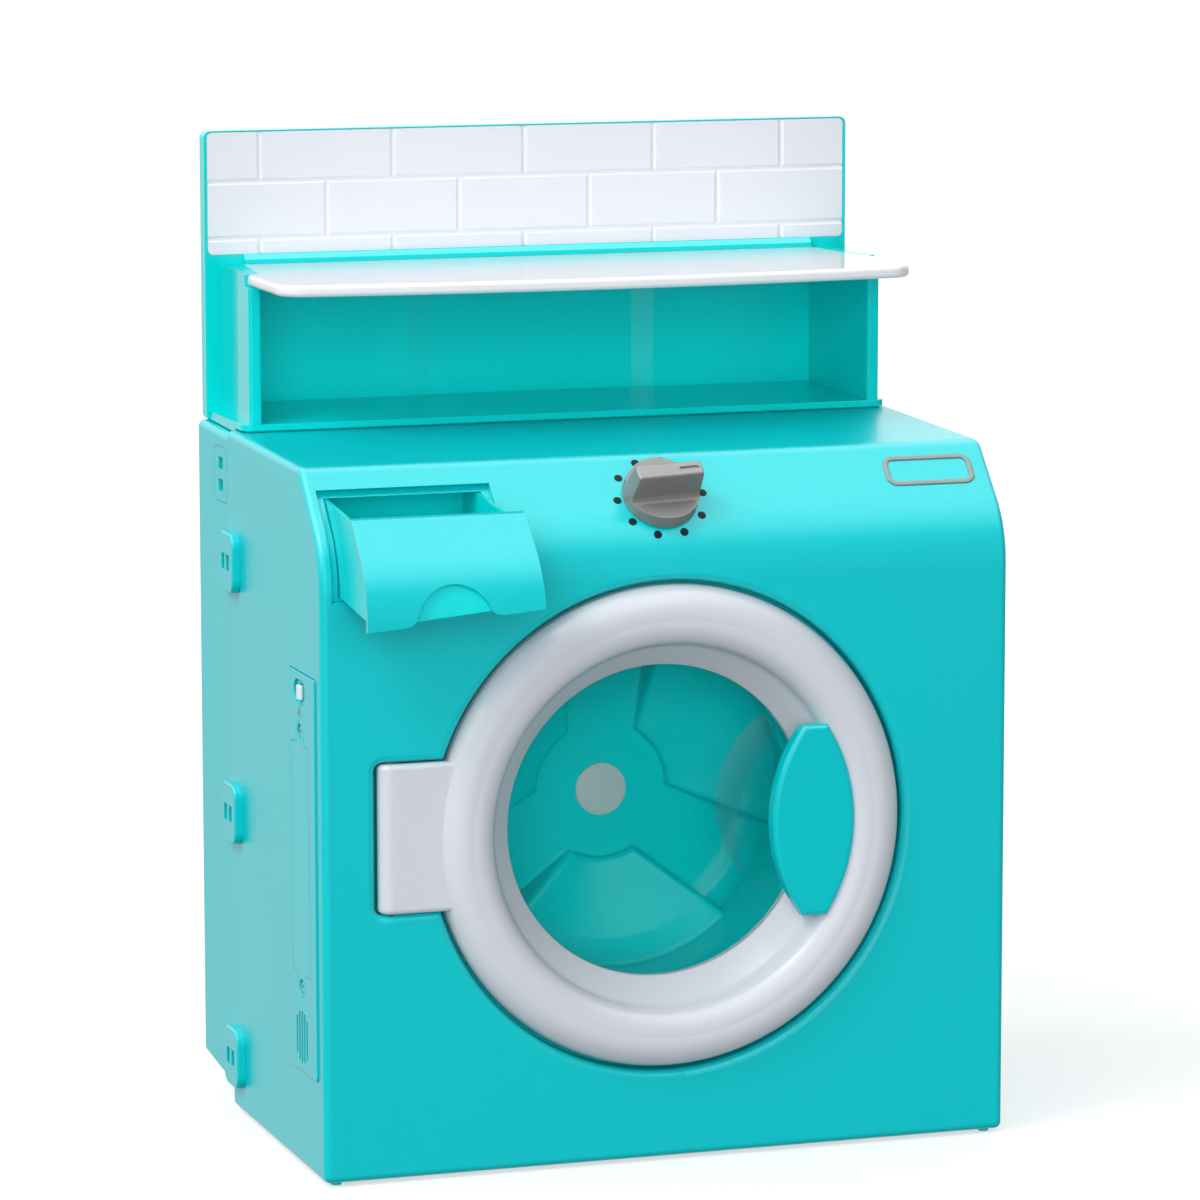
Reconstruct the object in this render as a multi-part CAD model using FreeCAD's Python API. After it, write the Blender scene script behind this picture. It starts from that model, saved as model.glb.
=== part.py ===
import FreeCAD, Part
import math
import os

os.makedirs("parts", exist_ok=True)

# Toy front-loading washer-dryer with a shelf hutch on top, lengths in millimetres, angles in degrees.
# X runs to the right, Y to the back from the front face, Z up from the floor.
# The finished pieces are moved along Y at the end, so that the origin is under the middle of the whole.

# Shared values
overrun = 20.0
short_overrun = 5.0
touch = 0.01
fit_gap = 0.3
shaft_gap = 0.05
wall = 3.0

# Cabinet
cabinet_width = 400.0
seam_depth = 193.0
rear_depth = 69.0
panel_height = 65.46
crest_setback = 42.0
panel_slant = 43.6
panel_arc_radius = 52.0
crest_radius = 11.0
top_rise = 4.9
edge_radius = 4.0
foot_height = 2.0
foot_radius = 3.0
foot_inset = 8.5
rear_top_step = 2.6
rear_bottom_step = 10.5
rear_bottom_rise = 7.3
lip_length = 27.0
lip_wall = 2.0
lip_root = 6.0

# Door recess and hinge pocket in the front shell
door_height = 189.0
recess_radius = 138.0
recess_depth = 14.0
recess_edge = 4.5
recess_step = 30.0
collar_length = 14.0
hinge_reach = 23.0
hinge_rise = 3.0
hinge_setback = 4.0
hinge_pin_radius = 2.0
hinge_barrel_radius = 7.0
hinge_tab_height = 83.0
hinge_tab_back = 6.0
hinge_tab_corner = 3.0
hinge_end_gap = 0.6
hinge_side_gap = 2.0
hinge_pocket_corner = 4.6
hinge_boss_length = 8.0
hinge_boss_half = 6.0

# Door
ring_gap = 2.5
ring_rim_front = 4.0
ring_rim_back = 6.0
ring_rim_width = 18.5
ring_crest_proud = 9.5
ring_throat_width = 15.0
ring_throat_depth = 3.5
ring_cone_width = 14.0
window_view_depth = 22.0
ring_wall = 3.0
ring_bulge_share = 0.72
ring_throat_blend = 12.0
ring_tab_reach = 4.5
back_ring_thickness = 3.0
window_thickness = 2.2
window_lap = 4.5
window_flange = 2.2
dimple_radius = 58.5
dimple_depth = 16.0
dimple_reach = 6.0
dimple_rise = 6.7
dimple_margin = 2.5
handle_lap = 5.0
handle_half_height = 54.0
handle_bulge_in = 25.3
handle_bulge_out = 23.4
handle_tip_half = 7.0
handle_proud = 8.0
handle_thickness = 9.0
handle_edge = 3.0
door_screw_count = 6
door_screw_radius = 1.5
door_screw_head_radius = 3.0
door_screw_head = 1.8
door_screw_length = 9.0
door_boss_radius = 4.0

# Drum and its bearing
drum_gap = 4.0
drum_taper = 4.0
drum_wall = 2.5
drum_front_gap = 2.0
drum_depth = 94.0
drum_lip = 6.0
drum_corner = 18.0
hub_radius = 39.5
lobe_apex = 19.5
arm_flare = 8.0
lobe_shoulder = 17.0
lobe_count = 3
lobe_turn_share = 0.25
lobe_rise = 24.0
lobe_crown = 4.0
lobe_step = 4.0
lobe_round = 3.5
hub_boss_wall = 4.0
hub_boss_length = 21.0
cap_radius = 15.0
cap_thickness = 2.5
cap_dome = 1.0
cap_spigot_gap = 0.2
cap_spigot_wall = 2.0
cap_spigot_length = 3.0
counterbore_radius = 13.0
counterbore_depth = 6.0
axle_radius = 4.0
axle_head_radius = 8.0
axle_head = 2.2
axle_grip = 45.0
bush_radius = 7.0
thrust_gap = 0.3
bracket_nose_radius = 12.0
bracket_root_radius = 18.0
bracket_flange_radius = 50.0
bracket_flange = 4.0
bracket_screw_count = 4
bracket_screw_circle = 38.0
bracket_screw_radius = 2.0
bracket_screw_head_radius = 4.0
bracket_screw_head = 2.5

# Drawer
drawer_angle = 6.0
drawer_top_margin = 14.96
drawer_side_margin = 6.5
drawer_width = 98.5
drawer_face_height = 50.0
drawer_skew = 8.0
drawer_flare = 2.3
drawer_plate = 3.0
drawer_rebate = 3.5
drawer_ledge = 4.5
drawer_sill = 2.3
drawer_backing_margin = 4.0
drawer_face_gap = 0.6
drawer_cut_length = 80.0
drawer_extension = 67.0
tray_gap = 0.5
tray_wall = 2.0
tray_length = 130.0
sleeve_wall = 2.0
sleeve_height = 30.0
sleeve_spare = 20.0
scallop_radius = 21.5
scallop_drop = 2.5
scallop_blend = 7.0

# Knob
knob_offset = 0.5
knob_setback = 21.3
knob_rest_turn = 3.5
knob_radius = 21.5
knob_lift = 0.6
knob_height = 25.2
knob_top_radius = 19.3
knob_bar_half = 4.7
knob_foot_half = 5.6
knob_foot_round = 3.5
knob_floor = 6.8
knob_lip = 8.5
knob_edge = 1.5
pointer_start = 5.7
pointer_end = 17.2
pointer_half = 1.2
pointer_depth = 1.0
knob_boss_radius = 18.0
knob_boss_depth = 7.0
spindle_radius = 4.0
click_wheel_radius = 12.0
click_wheel_drop = 2.0
click_wheel_thickness = 4.0
click_count = 10
click_notch_radius = 2.0
click_spring_gap = 0.4
click_spring_thickness = 1.2
click_spring_half = 4.0
knob_screw_head_radius = 6.0
knob_screw_head = 2.0
knob_screw_radius = 1.6
knob_screw_length = 16.0

# Sound module on the left side
module_proud = 1.0
module_front = 11.8
module_face_lap = 8.7
module_bottom = 57.0
module_corner = 2.0
module_gap = 0.4
module_box_margin = 1.0
module_flange = 5.0
module_flange_thickness = 2.0
module_box_depth = 32.0
module_wall = 2.0
module_cover_thickness = 3.0
bay_front_margin = 1.0
bay_back_margin = 6.3
bay_ledge = 1.5
bay_side_gap = 1.35
bay_end_ledge = 12.9
bay_corner = 1.5
cover_thickness = 3.0
cover_gap = 0.3
cover_tab_half = 7.0
cover_tab_reach = 13.0
cover_screw_reach = 7.5
cover_screw_radius = 1.4
cover_screw_head_radius = 2.6
cover_screw_head = 1.2
cover_well_radius = 4.3
cover_well_depth = 2.0
cover_screw_length = 9.0
cell_radius = 7.25
cell_length = 48.8
cell_nub_radius = 2.75
cell_nub = 1.5
cell_gap = 0.3
cell_end_gap = 0.15
cell_cover_gap = 1.2
contact_thickness = 0.5
contact_width = 12.0
grille_lift = 18.8
grille_radius = 15.0
grille_slot_count = 5
grille_slot_half = 1.35
grille_slot_pitch = 5.0
speaker_radius = 18.0
speaker_margin = 3.2
speaker_rim = 2.0
speaker_cone_radius = 9.0
speaker_depth = 9.0
speaker_magnet_radius = 8.0
speaker_magnet = 5.0
board_thickness = 1.6
board_margin = 1.0
switch_room_low = 6.5
switch_room_high = 0.5
switch_recess_half_width = 11.5
switch_recess_half_height = 7.0
switch_recess_depth = 1.4
switch_slot_half_width = 2.4
switch_slot_half_height = 5.2
switch_grip_half_width = 3.2
switch_grip_half_height = 4.2
switch_grip_proud = 1.2
switch_grip_edge = 1.2
switch_stem_half = 2.0
switch_body_half = 5.0
switch_body_depth = 7.0
switch_travel = 2.5
module_screw_radius = 1.4
module_screw_head_radius = 2.6
module_screw_head = 1.4
module_screw_length = 8.0

# Side clips and hutch locks
clip_lead = 10.7
clip_foot = 34.0
clip_head = 70.46
clip_middle_share = 0.4965
clip_width = 30.0
clip_height = 34.0
clip_corner = 8.0
clip_proud = 5.0
clip_edge = 1.2
clip_core_width = 6.4
clip_core_height = 9.2
clip_core_depth = 3.4
clip_pitch = 10.2
leg_width = 4.0
leg_height = 7.4
leg_barb = 1.0
leg_barb_length = 3.0
lock_setback = 16.2
lock_drop = 24.8
lock_width = 28.0
lock_tall = 31.5
lock_corner = 5.0
lock_plate = 1.2
lock_core_width = 9.0
lock_core_height = 6.9
lock_core_depth = 5.0
lock_pitch = 12.7
lock_peg_length = 13.0
lock_peg_wall = 1.0
tongue_inset = 10.5
tongue_thickness = 4.0
tongue_width = 20.0
tongue_reach = 46.0

# Hutch
hutch_overlap = 15.4
hutch_inset = 4.8
hutch_base_gap = 1.0
hutch_slab = 2.1
hutch_floor_rise = 4.4
hutch_plinth_inset = 3.0
hutch_base_corner = 6.0
hutch_draft = 9.0
wall_inset = 4.4
post_width = 7.2
post_depth = 25.0
post_edge = 2.0
web_inset = 3.2
cubby_height = 77.8
counter_thickness = 6.8
counter_inset = 1.8
counter_reach = 76.6
counter_wing = 8.4
counter_bow = 12.0
counter_corner = 14.0
counter_edge = 2.6
panel_inset = 3.0
panel_thickness = 11.0
splash_height = 71.3
panel_corner = 4.0
panel_edge = 1.5
niche_half_width = 76.0
niche_bevel = 13.0
niche_sink = 2.5
ledge_height = 5.7
ledge_proud = 4.5
ledge_bevel = 3.0
tile_margin = 1.8
tile_top_margin = 1.0
tile_depth = 3.0
tile_corner = 3.0
tile_first_row = 9.0
tile_height = 32.7
tile_length = 80.0
tile_joint_offset = -3.9
grout_radius = 2.2
grout_depth = 0.8


# Worked out from the values above
half_width = cabinet_width / 2
cabinet_depth = seam_depth + rear_depth
crest_height = door_height + recess_radius + panel_height
slant = math.radians(panel_slant)
slant_out = (-math.cos(slant), math.sin(slant))
top_angle = math.atan2(top_rise, cabinet_depth - crest_setback)
top_out = (-math.sin(top_angle), math.cos(top_angle))
arc_rise = ((panel_arc_radius - crest_setback) * math.cos(slant) - panel_arc_radius) / math.sin(slant)
arc_centre = (panel_arc_radius, crest_height + arc_rise)
crest_reach = crest_radius / (1 + slant_out[0] * top_out[0] + slant_out[1] * top_out[1])
crest_centre = (crest_setback - crest_reach * (slant_out[0] + top_out[0]),
                crest_height - crest_reach * (slant_out[1] + top_out[1]))
tilt = math.radians(drawer_angle)
ahead = FreeCAD.Vector(0, -1, 0)
back = FreeCAD.Vector(0, 1, 0)
up = FreeCAD.Vector(0, 0, 1)
right = FreeCAD.Vector(1, 0, 0)
door_axis = FreeCAD.Vector(0, 0, door_height)


def vec(x, y, z):
    return FreeCAD.Vector(x, y, z)


def block(low, high):
    """Box between two corners."""
    size = [b - a for a, b in zip(low, high)]
    return Part.makeBox(size[0], size[1], size[2], vec(*low))


def outline(steps, place):
    """Closed face through (a, b) points; a list of two points is an arc through the first to the second."""
    edges = []
    here = steps[0]
    for step in steps[1:] + steps[:1]:
        there = step[1] if isinstance(step, list) else step
        start, end = place(*here), place(*there)
        if isinstance(step, list):
            edges.append(Part.Arc(start, place(*step[0]), end).toShape())
        elif start.distanceToPoint(end) > touch:
            edges.append(Part.LineSegment(start, end).toShape())
        here = there
    return Part.Face(Part.Wire(edges))


def round_rect(low, high, radius):
    """Outline steps of a rectangle with round corners."""
    cut = radius * (1 - math.sqrt(0.5))
    left, bottom, wide, tall = low[0], low[1], high[0], high[1]
    return [
        (left + radius, bottom), (wide - radius, bottom),
        [(wide - cut, bottom + cut), (wide, bottom + radius)], (wide, tall - radius),
        [(wide - cut, tall - cut), (wide - radius, tall)], (left + radius, tall),
        [(left + cut, tall - cut), (left, tall - radius)], (left, bottom + radius),
        [(left + cut, bottom + cut), (left + radius, bottom)],
    ]


def side_plate(low, high, radius, x_from, x_to):
    """Round-cornered plate in the YZ plane between two X places."""
    face = outline(round_rect(low, high, radius), lambda a, b: vec(x_from, a, b))
    return face.extrude(vec(x_to - x_from, 0, 0))


def front_plate(low, high, radius, y_from, y_to):
    """Round-cornered plate in the XZ plane between two Y places."""
    face = outline(round_rect(low, high, radius), lambda a, b: vec(a, y_from, b))
    return face.extrude(vec(0, y_to - y_from, 0))


def turned(steps):
    """Solid turned about the door's axis from (radius, y) steps."""
    face = outline(steps, lambda a, b: vec(a, b, door_height))
    return face.revolve(door_axis, back, 360)


def tube(start, end, outer, inner):
    """Pipe about the door's axis between two depths."""
    return turned([(inner, start), (outer, start), (outer, end), (inner, end)])


def edges_where(solid, test):
    """Edges whose end points all pass a test."""
    return [edge for edge in solid.Edges if all(test(v.Point) for v in edge.Vertexes)]


def both_sides(shape):
    """A shape and its mirror image on the other side of the cabinet."""
    return Part.makeCompound([shape, shape.mirror(vec(0, 0, 0), right)])


def top_at(y):
    """Height of the cabinet's sloping top."""
    return crest_height + (y - crest_setback) * math.tan(top_angle)


def rear_top_at(y):
    """Height of the rear tub's top, a step below the front shell's."""
    return top_at(y) - rear_top_step


# Places worked out from the pieces that carry them
porthole_radius = recess_radius - recess_step
hinge_offset = recess_radius + hinge_reach
hinge_height = door_height + hinge_rise
ring_radius = recess_radius - ring_gap
ring_crest_radius = ring_radius - ring_rim_width
ring_throat_radius = ring_crest_radius - ring_throat_width
window_view_radius = ring_throat_radius - ring_cone_width
dimple_offset = window_view_radius + dimple_reach
handle_offset = window_view_radius - handle_lap
drum_radius = porthole_radius - drum_gap
drum_back_radius = drum_radius - drum_taper
drum_lip_radius = drum_radius - drum_lip
drum_front = recess_depth + collar_length + drum_front_gap
drum_floor = drum_front + drum_depth
lobe_radius = drum_back_radius - lobe_shoulder
hub_boss_radius = counterbore_radius + hub_boss_wall
cap_spigot_radius = counterbore_radius - cap_spigot_gap
drawer_height = crest_height - drawer_top_margin - drawer_face_height
drawer_centre = -half_width + drawer_side_margin + drawer_width / 2
sleeve_length = tray_length + sleeve_spare
bay_width = 4 * cell_radius + cell_gap + 2 * (bay_ledge + bay_side_gap)
bay_height = 2 * (cell_length + cell_nub) + cell_gap + 2 * (contact_thickness + cell_end_gap + bay_end_ledge)
bay_depth = cover_thickness + cell_cover_gap + 2 * cell_radius + cell_gap
grille_height = module_bottom + grille_lift
bay_bottom = grille_height + speaker_radius + speaker_margin + module_wall + cover_tab_reach
bay_top = bay_bottom + bay_height
switch_half_room = switch_body_half + switch_travel
switch_height = bay_top + cover_tab_reach + module_wall + switch_room_low + switch_half_room
module_top = switch_height + switch_half_room + switch_room_high + module_wall + module_box_margin
module_box_front = module_front + module_face_lap
module_axis = module_box_front + module_wall + bay_front_margin + bay_width / 2
module_back = module_axis + bay_width / 2 + bay_back_margin
clip_y = seam_depth - clip_lead
clip_high = crest_height - clip_head
clip_heights = (clip_foot, clip_foot + (clip_high - clip_foot) * clip_middle_share, clip_high)
lock_y = seam_depth + lock_setback
lock_height = rear_top_at(lock_y) - lock_drop
panel_front = cabinet_depth - panel_thickness
panel_half_width = half_width - panel_inset
hutch_front = seam_depth - hutch_overlap
hutch_half_width = half_width - hutch_inset
hutch_base_lip = top_at(panel_front) + hutch_base_gap + hutch_slab
hutch_floor_rear = hutch_base_lip + hutch_floor_rise
wall_outer = hutch_half_width - wall_inset
counter_bottom = hutch_base_lip + cubby_height
counter_top_height = counter_bottom + counter_thickness
counter_half_width = wall_outer - counter_inset
counter_front = hutch_front - counter_reach
counter_wing_end = hutch_front + counter_wing
ledge_top = counter_top_height + ledge_height
panel_top = ledge_top + splash_height
tile_top = panel_top - tile_top_margin
tile_row_count = math.ceil((tile_top - ledge_top - tile_first_row) / tile_height)
tile_rows = [ledge_top + tile_first_row + index * tile_height for index in range(tile_row_count)]


def rear_low(y):
    """Height of the rear tub's rising bottom."""
    return foot_height + rear_bottom_step + rear_bottom_rise * (y - seam_depth) / (cabinet_depth - seam_depth)


def inner_at(y):
    """Half the space between the hutch walls, which lean in towards the back."""
    return wall_outer - post_width - hutch_draft * (y - hutch_front) / (panel_front - hutch_front)


def around(count, radius, offset_share):
    """Points spaced evenly on a circle about the door's axis, as (x, z)."""
    turns = [2 * math.pi * (index + offset_share) / count for index in range(count)]
    return [(radius * math.cos(turn), door_height + radius * math.sin(turn)) for turn in turns]


# Cabinet outline
def side_steps(inset, rear):
    """Side outline: upright front, arc, slanted panel, rounded crest, sloping top."""
    arc = panel_arc_radius - inset
    crest = crest_radius - inset
    half = slant / 2
    middle = (slant_out[0] + top_out[0], slant_out[1] + top_out[1])
    long = math.hypot(*middle)
    bottom = foot_height + inset
    return [
        (inset, bottom), (inset, arc_centre[1]),
        [(arc_centre[0] - arc * math.cos(half), arc_centre[1] + arc * math.sin(half)),
         (arc_centre[0] + arc * slant_out[0], arc_centre[1] + arc * slant_out[1])],
        (crest_centre[0] + crest * slant_out[0], crest_centre[1] + crest * slant_out[1]),
        [(crest_centre[0] + crest * middle[0] / long, crest_centre[1] + crest * middle[1] / long),
         (crest_centre[0] + crest * top_out[0], crest_centre[1] + crest * top_out[1])],
        (rear, top_at(rear) - inset / math.cos(top_angle)), (rear, bottom),
    ]


def panel_block(inset):
    """Cabinet outline carried past both sides, for what follows the front panel."""
    side = half_width + overrun
    face = outline(side_steps(inset, cabinet_depth), lambda a, b: vec(-side, a, b))
    return face.extrude(vec(2 * side, 0, 0))


def cabinet_block(inset, rear):
    """Cabinet outline with rounded edges, inset by a wall."""
    side = half_width - inset
    bottom = foot_height + inset
    face = outline(side_steps(inset, rear), lambda a, b: vec(-side, a, b))
    solid = face.extrude(vec(2 * side, 0, 0))
    left = edges_where(solid, lambda p: abs(p.x + side) < touch)
    right_hand = edges_where(solid, lambda p: abs(p.x - side) < touch)
    low_front = edges_where(solid, lambda p: abs(p.y - inset) < touch and abs(p.z - bottom) < touch)
    at_rear = edges_where(solid, lambda p: abs(p.y - rear) < touch)
    chosen = [edge for edge in left + right_hand + low_front
              if not any(edge.isSame(other) for other in at_rear)]
    return solid.makeFillet(edge_radius - inset, chosen)


def rear_block(inset, front, rear, round_back):
    """Rear tub's outline with rounded edges, inset by a wall."""
    side = half_width - inset
    drop = inset / math.cos(top_angle)
    steps = [(front, rear_low(front) + inset), (rear, rear_low(rear) + inset),
             (rear, rear_top_at(rear) - drop), (front, rear_top_at(front) - drop)]
    solid = outline(steps, lambda a, b: vec(-side, a, b)).extrude(vec(2 * side, 0, 0))
    at_front = edges_where(solid, lambda p: abs(p.y - front) < touch)
    at_rear = edges_where(solid, lambda p: abs(p.y - rear) < touch)
    skipped = at_front if round_back else at_front + at_rear
    chosen = [edge for edge in solid.Edges if not any(edge.isSame(other) for other in skipped)]
    return solid.makeFillet(max(edge_radius - inset, lip_wall / 4), chosen)


# Drawer frame: u along X, w square to the slide, turned about the drawer's bottom line
def drawer_prism(side_inset, low, top, start, end, flare=0):
    """Prism along the drawer's slide; its skewed bottom is low above the opening's bottom edge."""
    left = drawer_centre - drawer_width / 2 + side_inset
    far = drawer_centre + drawer_width / 2 - side_inset
    steps = [(left, low - drawer_skew / 2), (far + flare, low + drawer_skew / 2), (far, top), (left, top)]
    face = outline(steps, lambda a, b: vec(a, start, drawer_height + b))
    prism = face.extrude(vec(0, end - start, 0))
    return prism.rotated(vec(0, 0, drawer_height), right, drawer_angle)


def drawer_slide(distance):
    """Vector along the drawer's slide, positive outwards."""
    return vec(0, -distance * math.cos(tilt), -distance * math.sin(tilt))


# Knob frame: z outwards along the knob's axis, x to the right
def knob_place(shape):
    """A shape made about the origin, put on the control panel."""
    turned_shape = shape.rotated(vec(0, 0, 0), right, 90 - panel_slant)
    return turned_shape.translated(vec(knob_offset, knob_setback, knob_base_height()))


def knob_base_height():
    """Height of the slanted panel at the knob's centre."""
    return crest_height - (crest_setback - knob_setback) / math.tan(slant)


def knob_rod(radius, low, high):
    """Round bar on the knob's axis."""
    return Part.makeCylinder(radius, high - low, vec(0, 0, low), up)


# Clip legs and locks
def clip_boxes(grow, reach, heights):
    """Boxes for the clips' legs on the right side, grown all round, from a reach inside to the outer face."""
    boxes = []
    for height in heights:
        for side in (-1, 1):
            middle = clip_y + side * clip_pitch / 2
            low = (half_width - reach, middle - leg_width / 2 - grow, height - leg_height / 2 - grow)
            high = (half_width, middle + leg_width / 2 + grow, height + leg_height / 2 + grow)
            boxes.append(block(low, high))
    return boxes


def lock_boxes(grow_width, grow_height, start, reach):
    """Boxes for the lock's pegs on the right side, from a start inside the outer face."""
    boxes = []
    for side in (-1, 1):
        middle = lock_height + side * lock_pitch / 2
        low = (half_width - reach, lock_y - lock_core_width / 2 - grow_width,
               middle - lock_core_height / 2 - grow_height)
        high = (half_width - start, lock_y + lock_core_width / 2 + grow_width,
                middle + lock_core_height / 2 + grow_height)
        boxes.append(block(low, high))
    return boxes


def mirrored(shapes):
    """Shapes and their mirror images across the cabinet."""
    return shapes + [shape.mirror(vec(0, 0, 0), right) for shape in shapes]


clip_leg_reach = wall + fit_gap + lip_wall + fit_gap + leg_barb_length


# Front shell
def hinge_pocket(grow, depth):
    """Block of the hinge's pocket, grown by a wall."""
    half = hinge_tab_height / 2 + hinge_end_gap + grow
    outer = hinge_offset + hinge_barrel_radius + hinge_side_gap + grow
    low, high = (-outer, hinge_height - half), (-porthole_radius, hinge_height + half)
    return front_plate(low, high, hinge_pocket_corner + grow, 0, depth)


def pocket_flare():
    """Rounded mouth of the hinge pocket: a wider plate less a round bar along its edge."""
    half = hinge_tab_height / 2 + hinge_end_gap + recess_edge
    outer = hinge_offset + hinge_barrel_radius + hinge_side_gap + recess_edge
    corner = hinge_pocket_corner + recess_edge
    low, high = (-outer, hinge_height - half), (-porthole_radius, hinge_height + half)
    mouth = front_plate(low, high, corner, -overrun, recess_edge)
    bend_x = -outer + corner
    bars = [Part.makeCylinder(recess_edge, 2 * (half - corner),
                              vec(-outer, recess_edge, hinge_height - half + corner), up)]
    for side in (-1, 1):
        level = hinge_height + side * half
        bend = vec(bend_x, recess_edge, level - side * corner)
        bars.append(Part.makeCylinder(recess_edge, outer, vec(bend_x, recess_edge, level), right))
        edge = Part.makeTorus(corner, recess_edge, bend, back)
        near, far = sorted((bend.z, level + side * overrun))
        bars.append(edge.common(block((-outer - overrun, -overrun, near), (bend_x, 2 * overrun, far))))
    return mouth.cut(bars)


def hinge_bosses():
    """Blocks above and below the pocket that hold the hinge pin."""
    bosses = []
    half = hinge_tab_height / 2 + hinge_end_gap
    long = wall + hinge_boss_length
    for low in (hinge_height + half, hinge_height - half - long):
        near = (-hinge_offset - hinge_boss_half, 0, low)
        far = (-hinge_offset + hinge_boss_half, hinge_setback + hinge_boss_half, low + long)
        bosses.append(block(near, far))
    return bosses


def hinge_pin_rod(radius):
    """Upright rod on the hinge's axis, as long as the bosses allow."""
    half = hinge_tab_height / 2 + hinge_end_gap + wall + hinge_boss_length
    return Part.makeCylinder(radius, 2 * half, vec(-hinge_offset, hinge_setback, hinge_height - half), up)


def recess_void():
    """Round door recess with a rounded mouth, turned about the door's axis."""
    mouth = recess_radius + recess_edge
    bend = recess_edge * math.sqrt(0.5)
    return turned([
        (0, -overrun), (mouth, -overrun), (mouth, 0),
        [(mouth - bend, recess_edge - bend), (recess_radius, recess_edge)],
        (recess_radius, recess_depth), (0, recess_depth),
    ])


def feet():
    """Four small bumps under the shell."""
    bumps = []
    for x in (-half_width + foot_inset, half_width - foot_inset):
        for y in (foot_inset, seam_depth - foot_inset):
            bumps.append(Part.makeCylinder(foot_radius, foot_height + wall, vec(x, y, 0), up))
    return bumps


def module_opening(grow, depth):
    """Plate in the left wall for the sound module's face."""
    low = (module_front - grow, module_bottom - grow)
    high = (module_back + grow, module_top + grow)
    return side_plate(low, high, module_corner, -half_width - touch, -half_width + depth)


def front_shell():
    outer = cabinet_block(0, seam_depth)
    body = outer.cut(cabinet_block(wall, seam_depth + overrun))
    side = half_width - wall
    sill = block((-side, seam_depth - wall, foot_height), (side, seam_depth, rear_low(seam_depth)))
    rim = tube(0, recess_depth + wall, recess_radius + wall, porthole_radius)
    collar = tube(recess_depth, recess_depth + collar_length, porthole_radius + wall, porthole_radius)
    rebate_back = drawer_rebate + wall
    frame = drawer_prism(-drawer_backing_margin, -drawer_backing_margin,
                         drawer_face_height + drawer_backing_margin,
                         -overrun, drawer_cut_length, drawer_flare)
    frame = frame.common(panel_block(0)).cut(panel_block(rebate_back))
    boss = knob_place(knob_rod(knob_boss_radius, -knob_boss_depth, 0))
    added = [sill, rim, collar, hinge_pocket(wall, recess_depth + wall), frame, boss] + hinge_bosses()
    body = body.fuse([piece.common(outer) for piece in added])
    pocket = hinge_pocket(0, recess_depth)
    pocket = pocket.fuse(pocket.translated(vec(0, -overrun, 0)))
    rebate = drawer_prism(0, 0, drawer_face_height, -overrun, drawer_cut_length, drawer_flare)
    mouth = drawer_prism(drawer_ledge, drawer_sill, drawer_face_height - drawer_ledge, -overrun,
                         drawer_cut_length)
    porthole = Part.makeCylinder(porthole_radius, recess_depth + collar_length + overrun, door_axis, back)
    spindle_hole = knob_place(knob_rod(spindle_radius + shaft_gap, -knob_boss_depth - overrun, overrun))
    holes = mirrored(clip_boxes(fit_gap, wall + short_overrun, clip_heights))
    cuts = [recess_void(), pocket, pocket_flare(), porthole, rebate.cut(panel_block(drawer_rebate)), mouth,
            spindle_hole, hinge_pin_rod(hinge_pin_radius + shaft_gap / 2),
            module_opening(module_gap, wall + short_overrun)]
    body = body.cut(cuts + holes)
    return body.fuse(feet()).removeSplitter()


# Rear shell
def rear_shell():
    lip = wall + fit_gap
    bore = lip + lip_wall
    body = rear_block(0, seam_depth, cabinet_depth, True)
    body = body.fuse(rear_block(lip, seam_depth - lip_length, seam_depth + lip_root, False))
    body = body.cut([rear_block(bore, seam_depth - lip_length - overrun, seam_depth + lip_root, False),
                     rear_block(wall, seam_depth + lip_root - touch, cabinet_depth - wall, True)])
    holes = mirrored(clip_boxes(fit_gap, clip_leg_reach + overrun, clip_heights))
    pocket = lock_face(fit_gap, lock_plate)
    pegs = lock_boxes(lock_peg_wall + fit_gap, lock_peg_wall + fit_gap, 0, wall + short_overrun)
    slot = hutch_tongue(fit_gap, overrun)
    body = body.cut(holes + mirrored([pocket, slot] + pegs))
    screws = [Part.makeCylinder(bracket_screw_radius, wall + overrun,
                                vec(x, cabinet_depth - wall - overrun / 2, z), back)
              for x, z in around(bracket_screw_count, bracket_screw_circle, 0.5)]
    return body.cut([screw for screw in screws]).removeSplitter()


# Side clips: pads over the seam with two legs through both shells
def side_clip(height):
    low = (clip_y - clip_width / 2, height - clip_height / 2)
    high = (clip_y + clip_width / 2, height + clip_height / 2)
    pad = side_plate(low, high, clip_corner, half_width, half_width + clip_proud)
    rim = edges_where(pad, lambda p: abs(p.x - half_width - clip_proud) < touch)
    pad = pad.makeFillet(clip_edge, rim)
    cores = []
    barbs = []
    for side in (-1, 1):
        middle = clip_y + side * clip_pitch / 2
        near = (half_width + clip_proud - clip_core_depth, middle - clip_core_width / 2,
                height - clip_core_height / 2)
        far = (half_width + clip_proud + overrun, middle + clip_core_width / 2,
               height + clip_core_height / 2)
        cores.append(block(near, far))
        tip = half_width - clip_leg_reach
        outer = middle + side * leg_width / 2
        steps = [(tip, outer), (tip + leg_barb_length, outer + side * leg_barb),
                 (tip + leg_barb_length, outer)]
        barb = outline(steps, lambda a, b: vec(a, b, height - leg_height / 2))
        barbs.append(barb.extrude(vec(0, 0, leg_height)))
    legs = clip_boxes(0, clip_leg_reach, (height,))
    return pad.cut(cores).fuse(legs + barbs).removeSplitter()


def side_clips():
    return Part.makeCompound(mirrored([side_clip(height) for height in clip_heights]))


# Hutch locks: flush plates with two hollow pegs into the hutch's tongues
def lock_face(grow, depth):
    low = (lock_y - lock_width / 2 - grow, lock_height - lock_tall / 2 - grow)
    high = (lock_y + lock_width / 2 + grow, lock_height + lock_tall / 2 + grow)
    return side_plate(low, high, lock_corner, half_width - depth, half_width)


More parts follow.
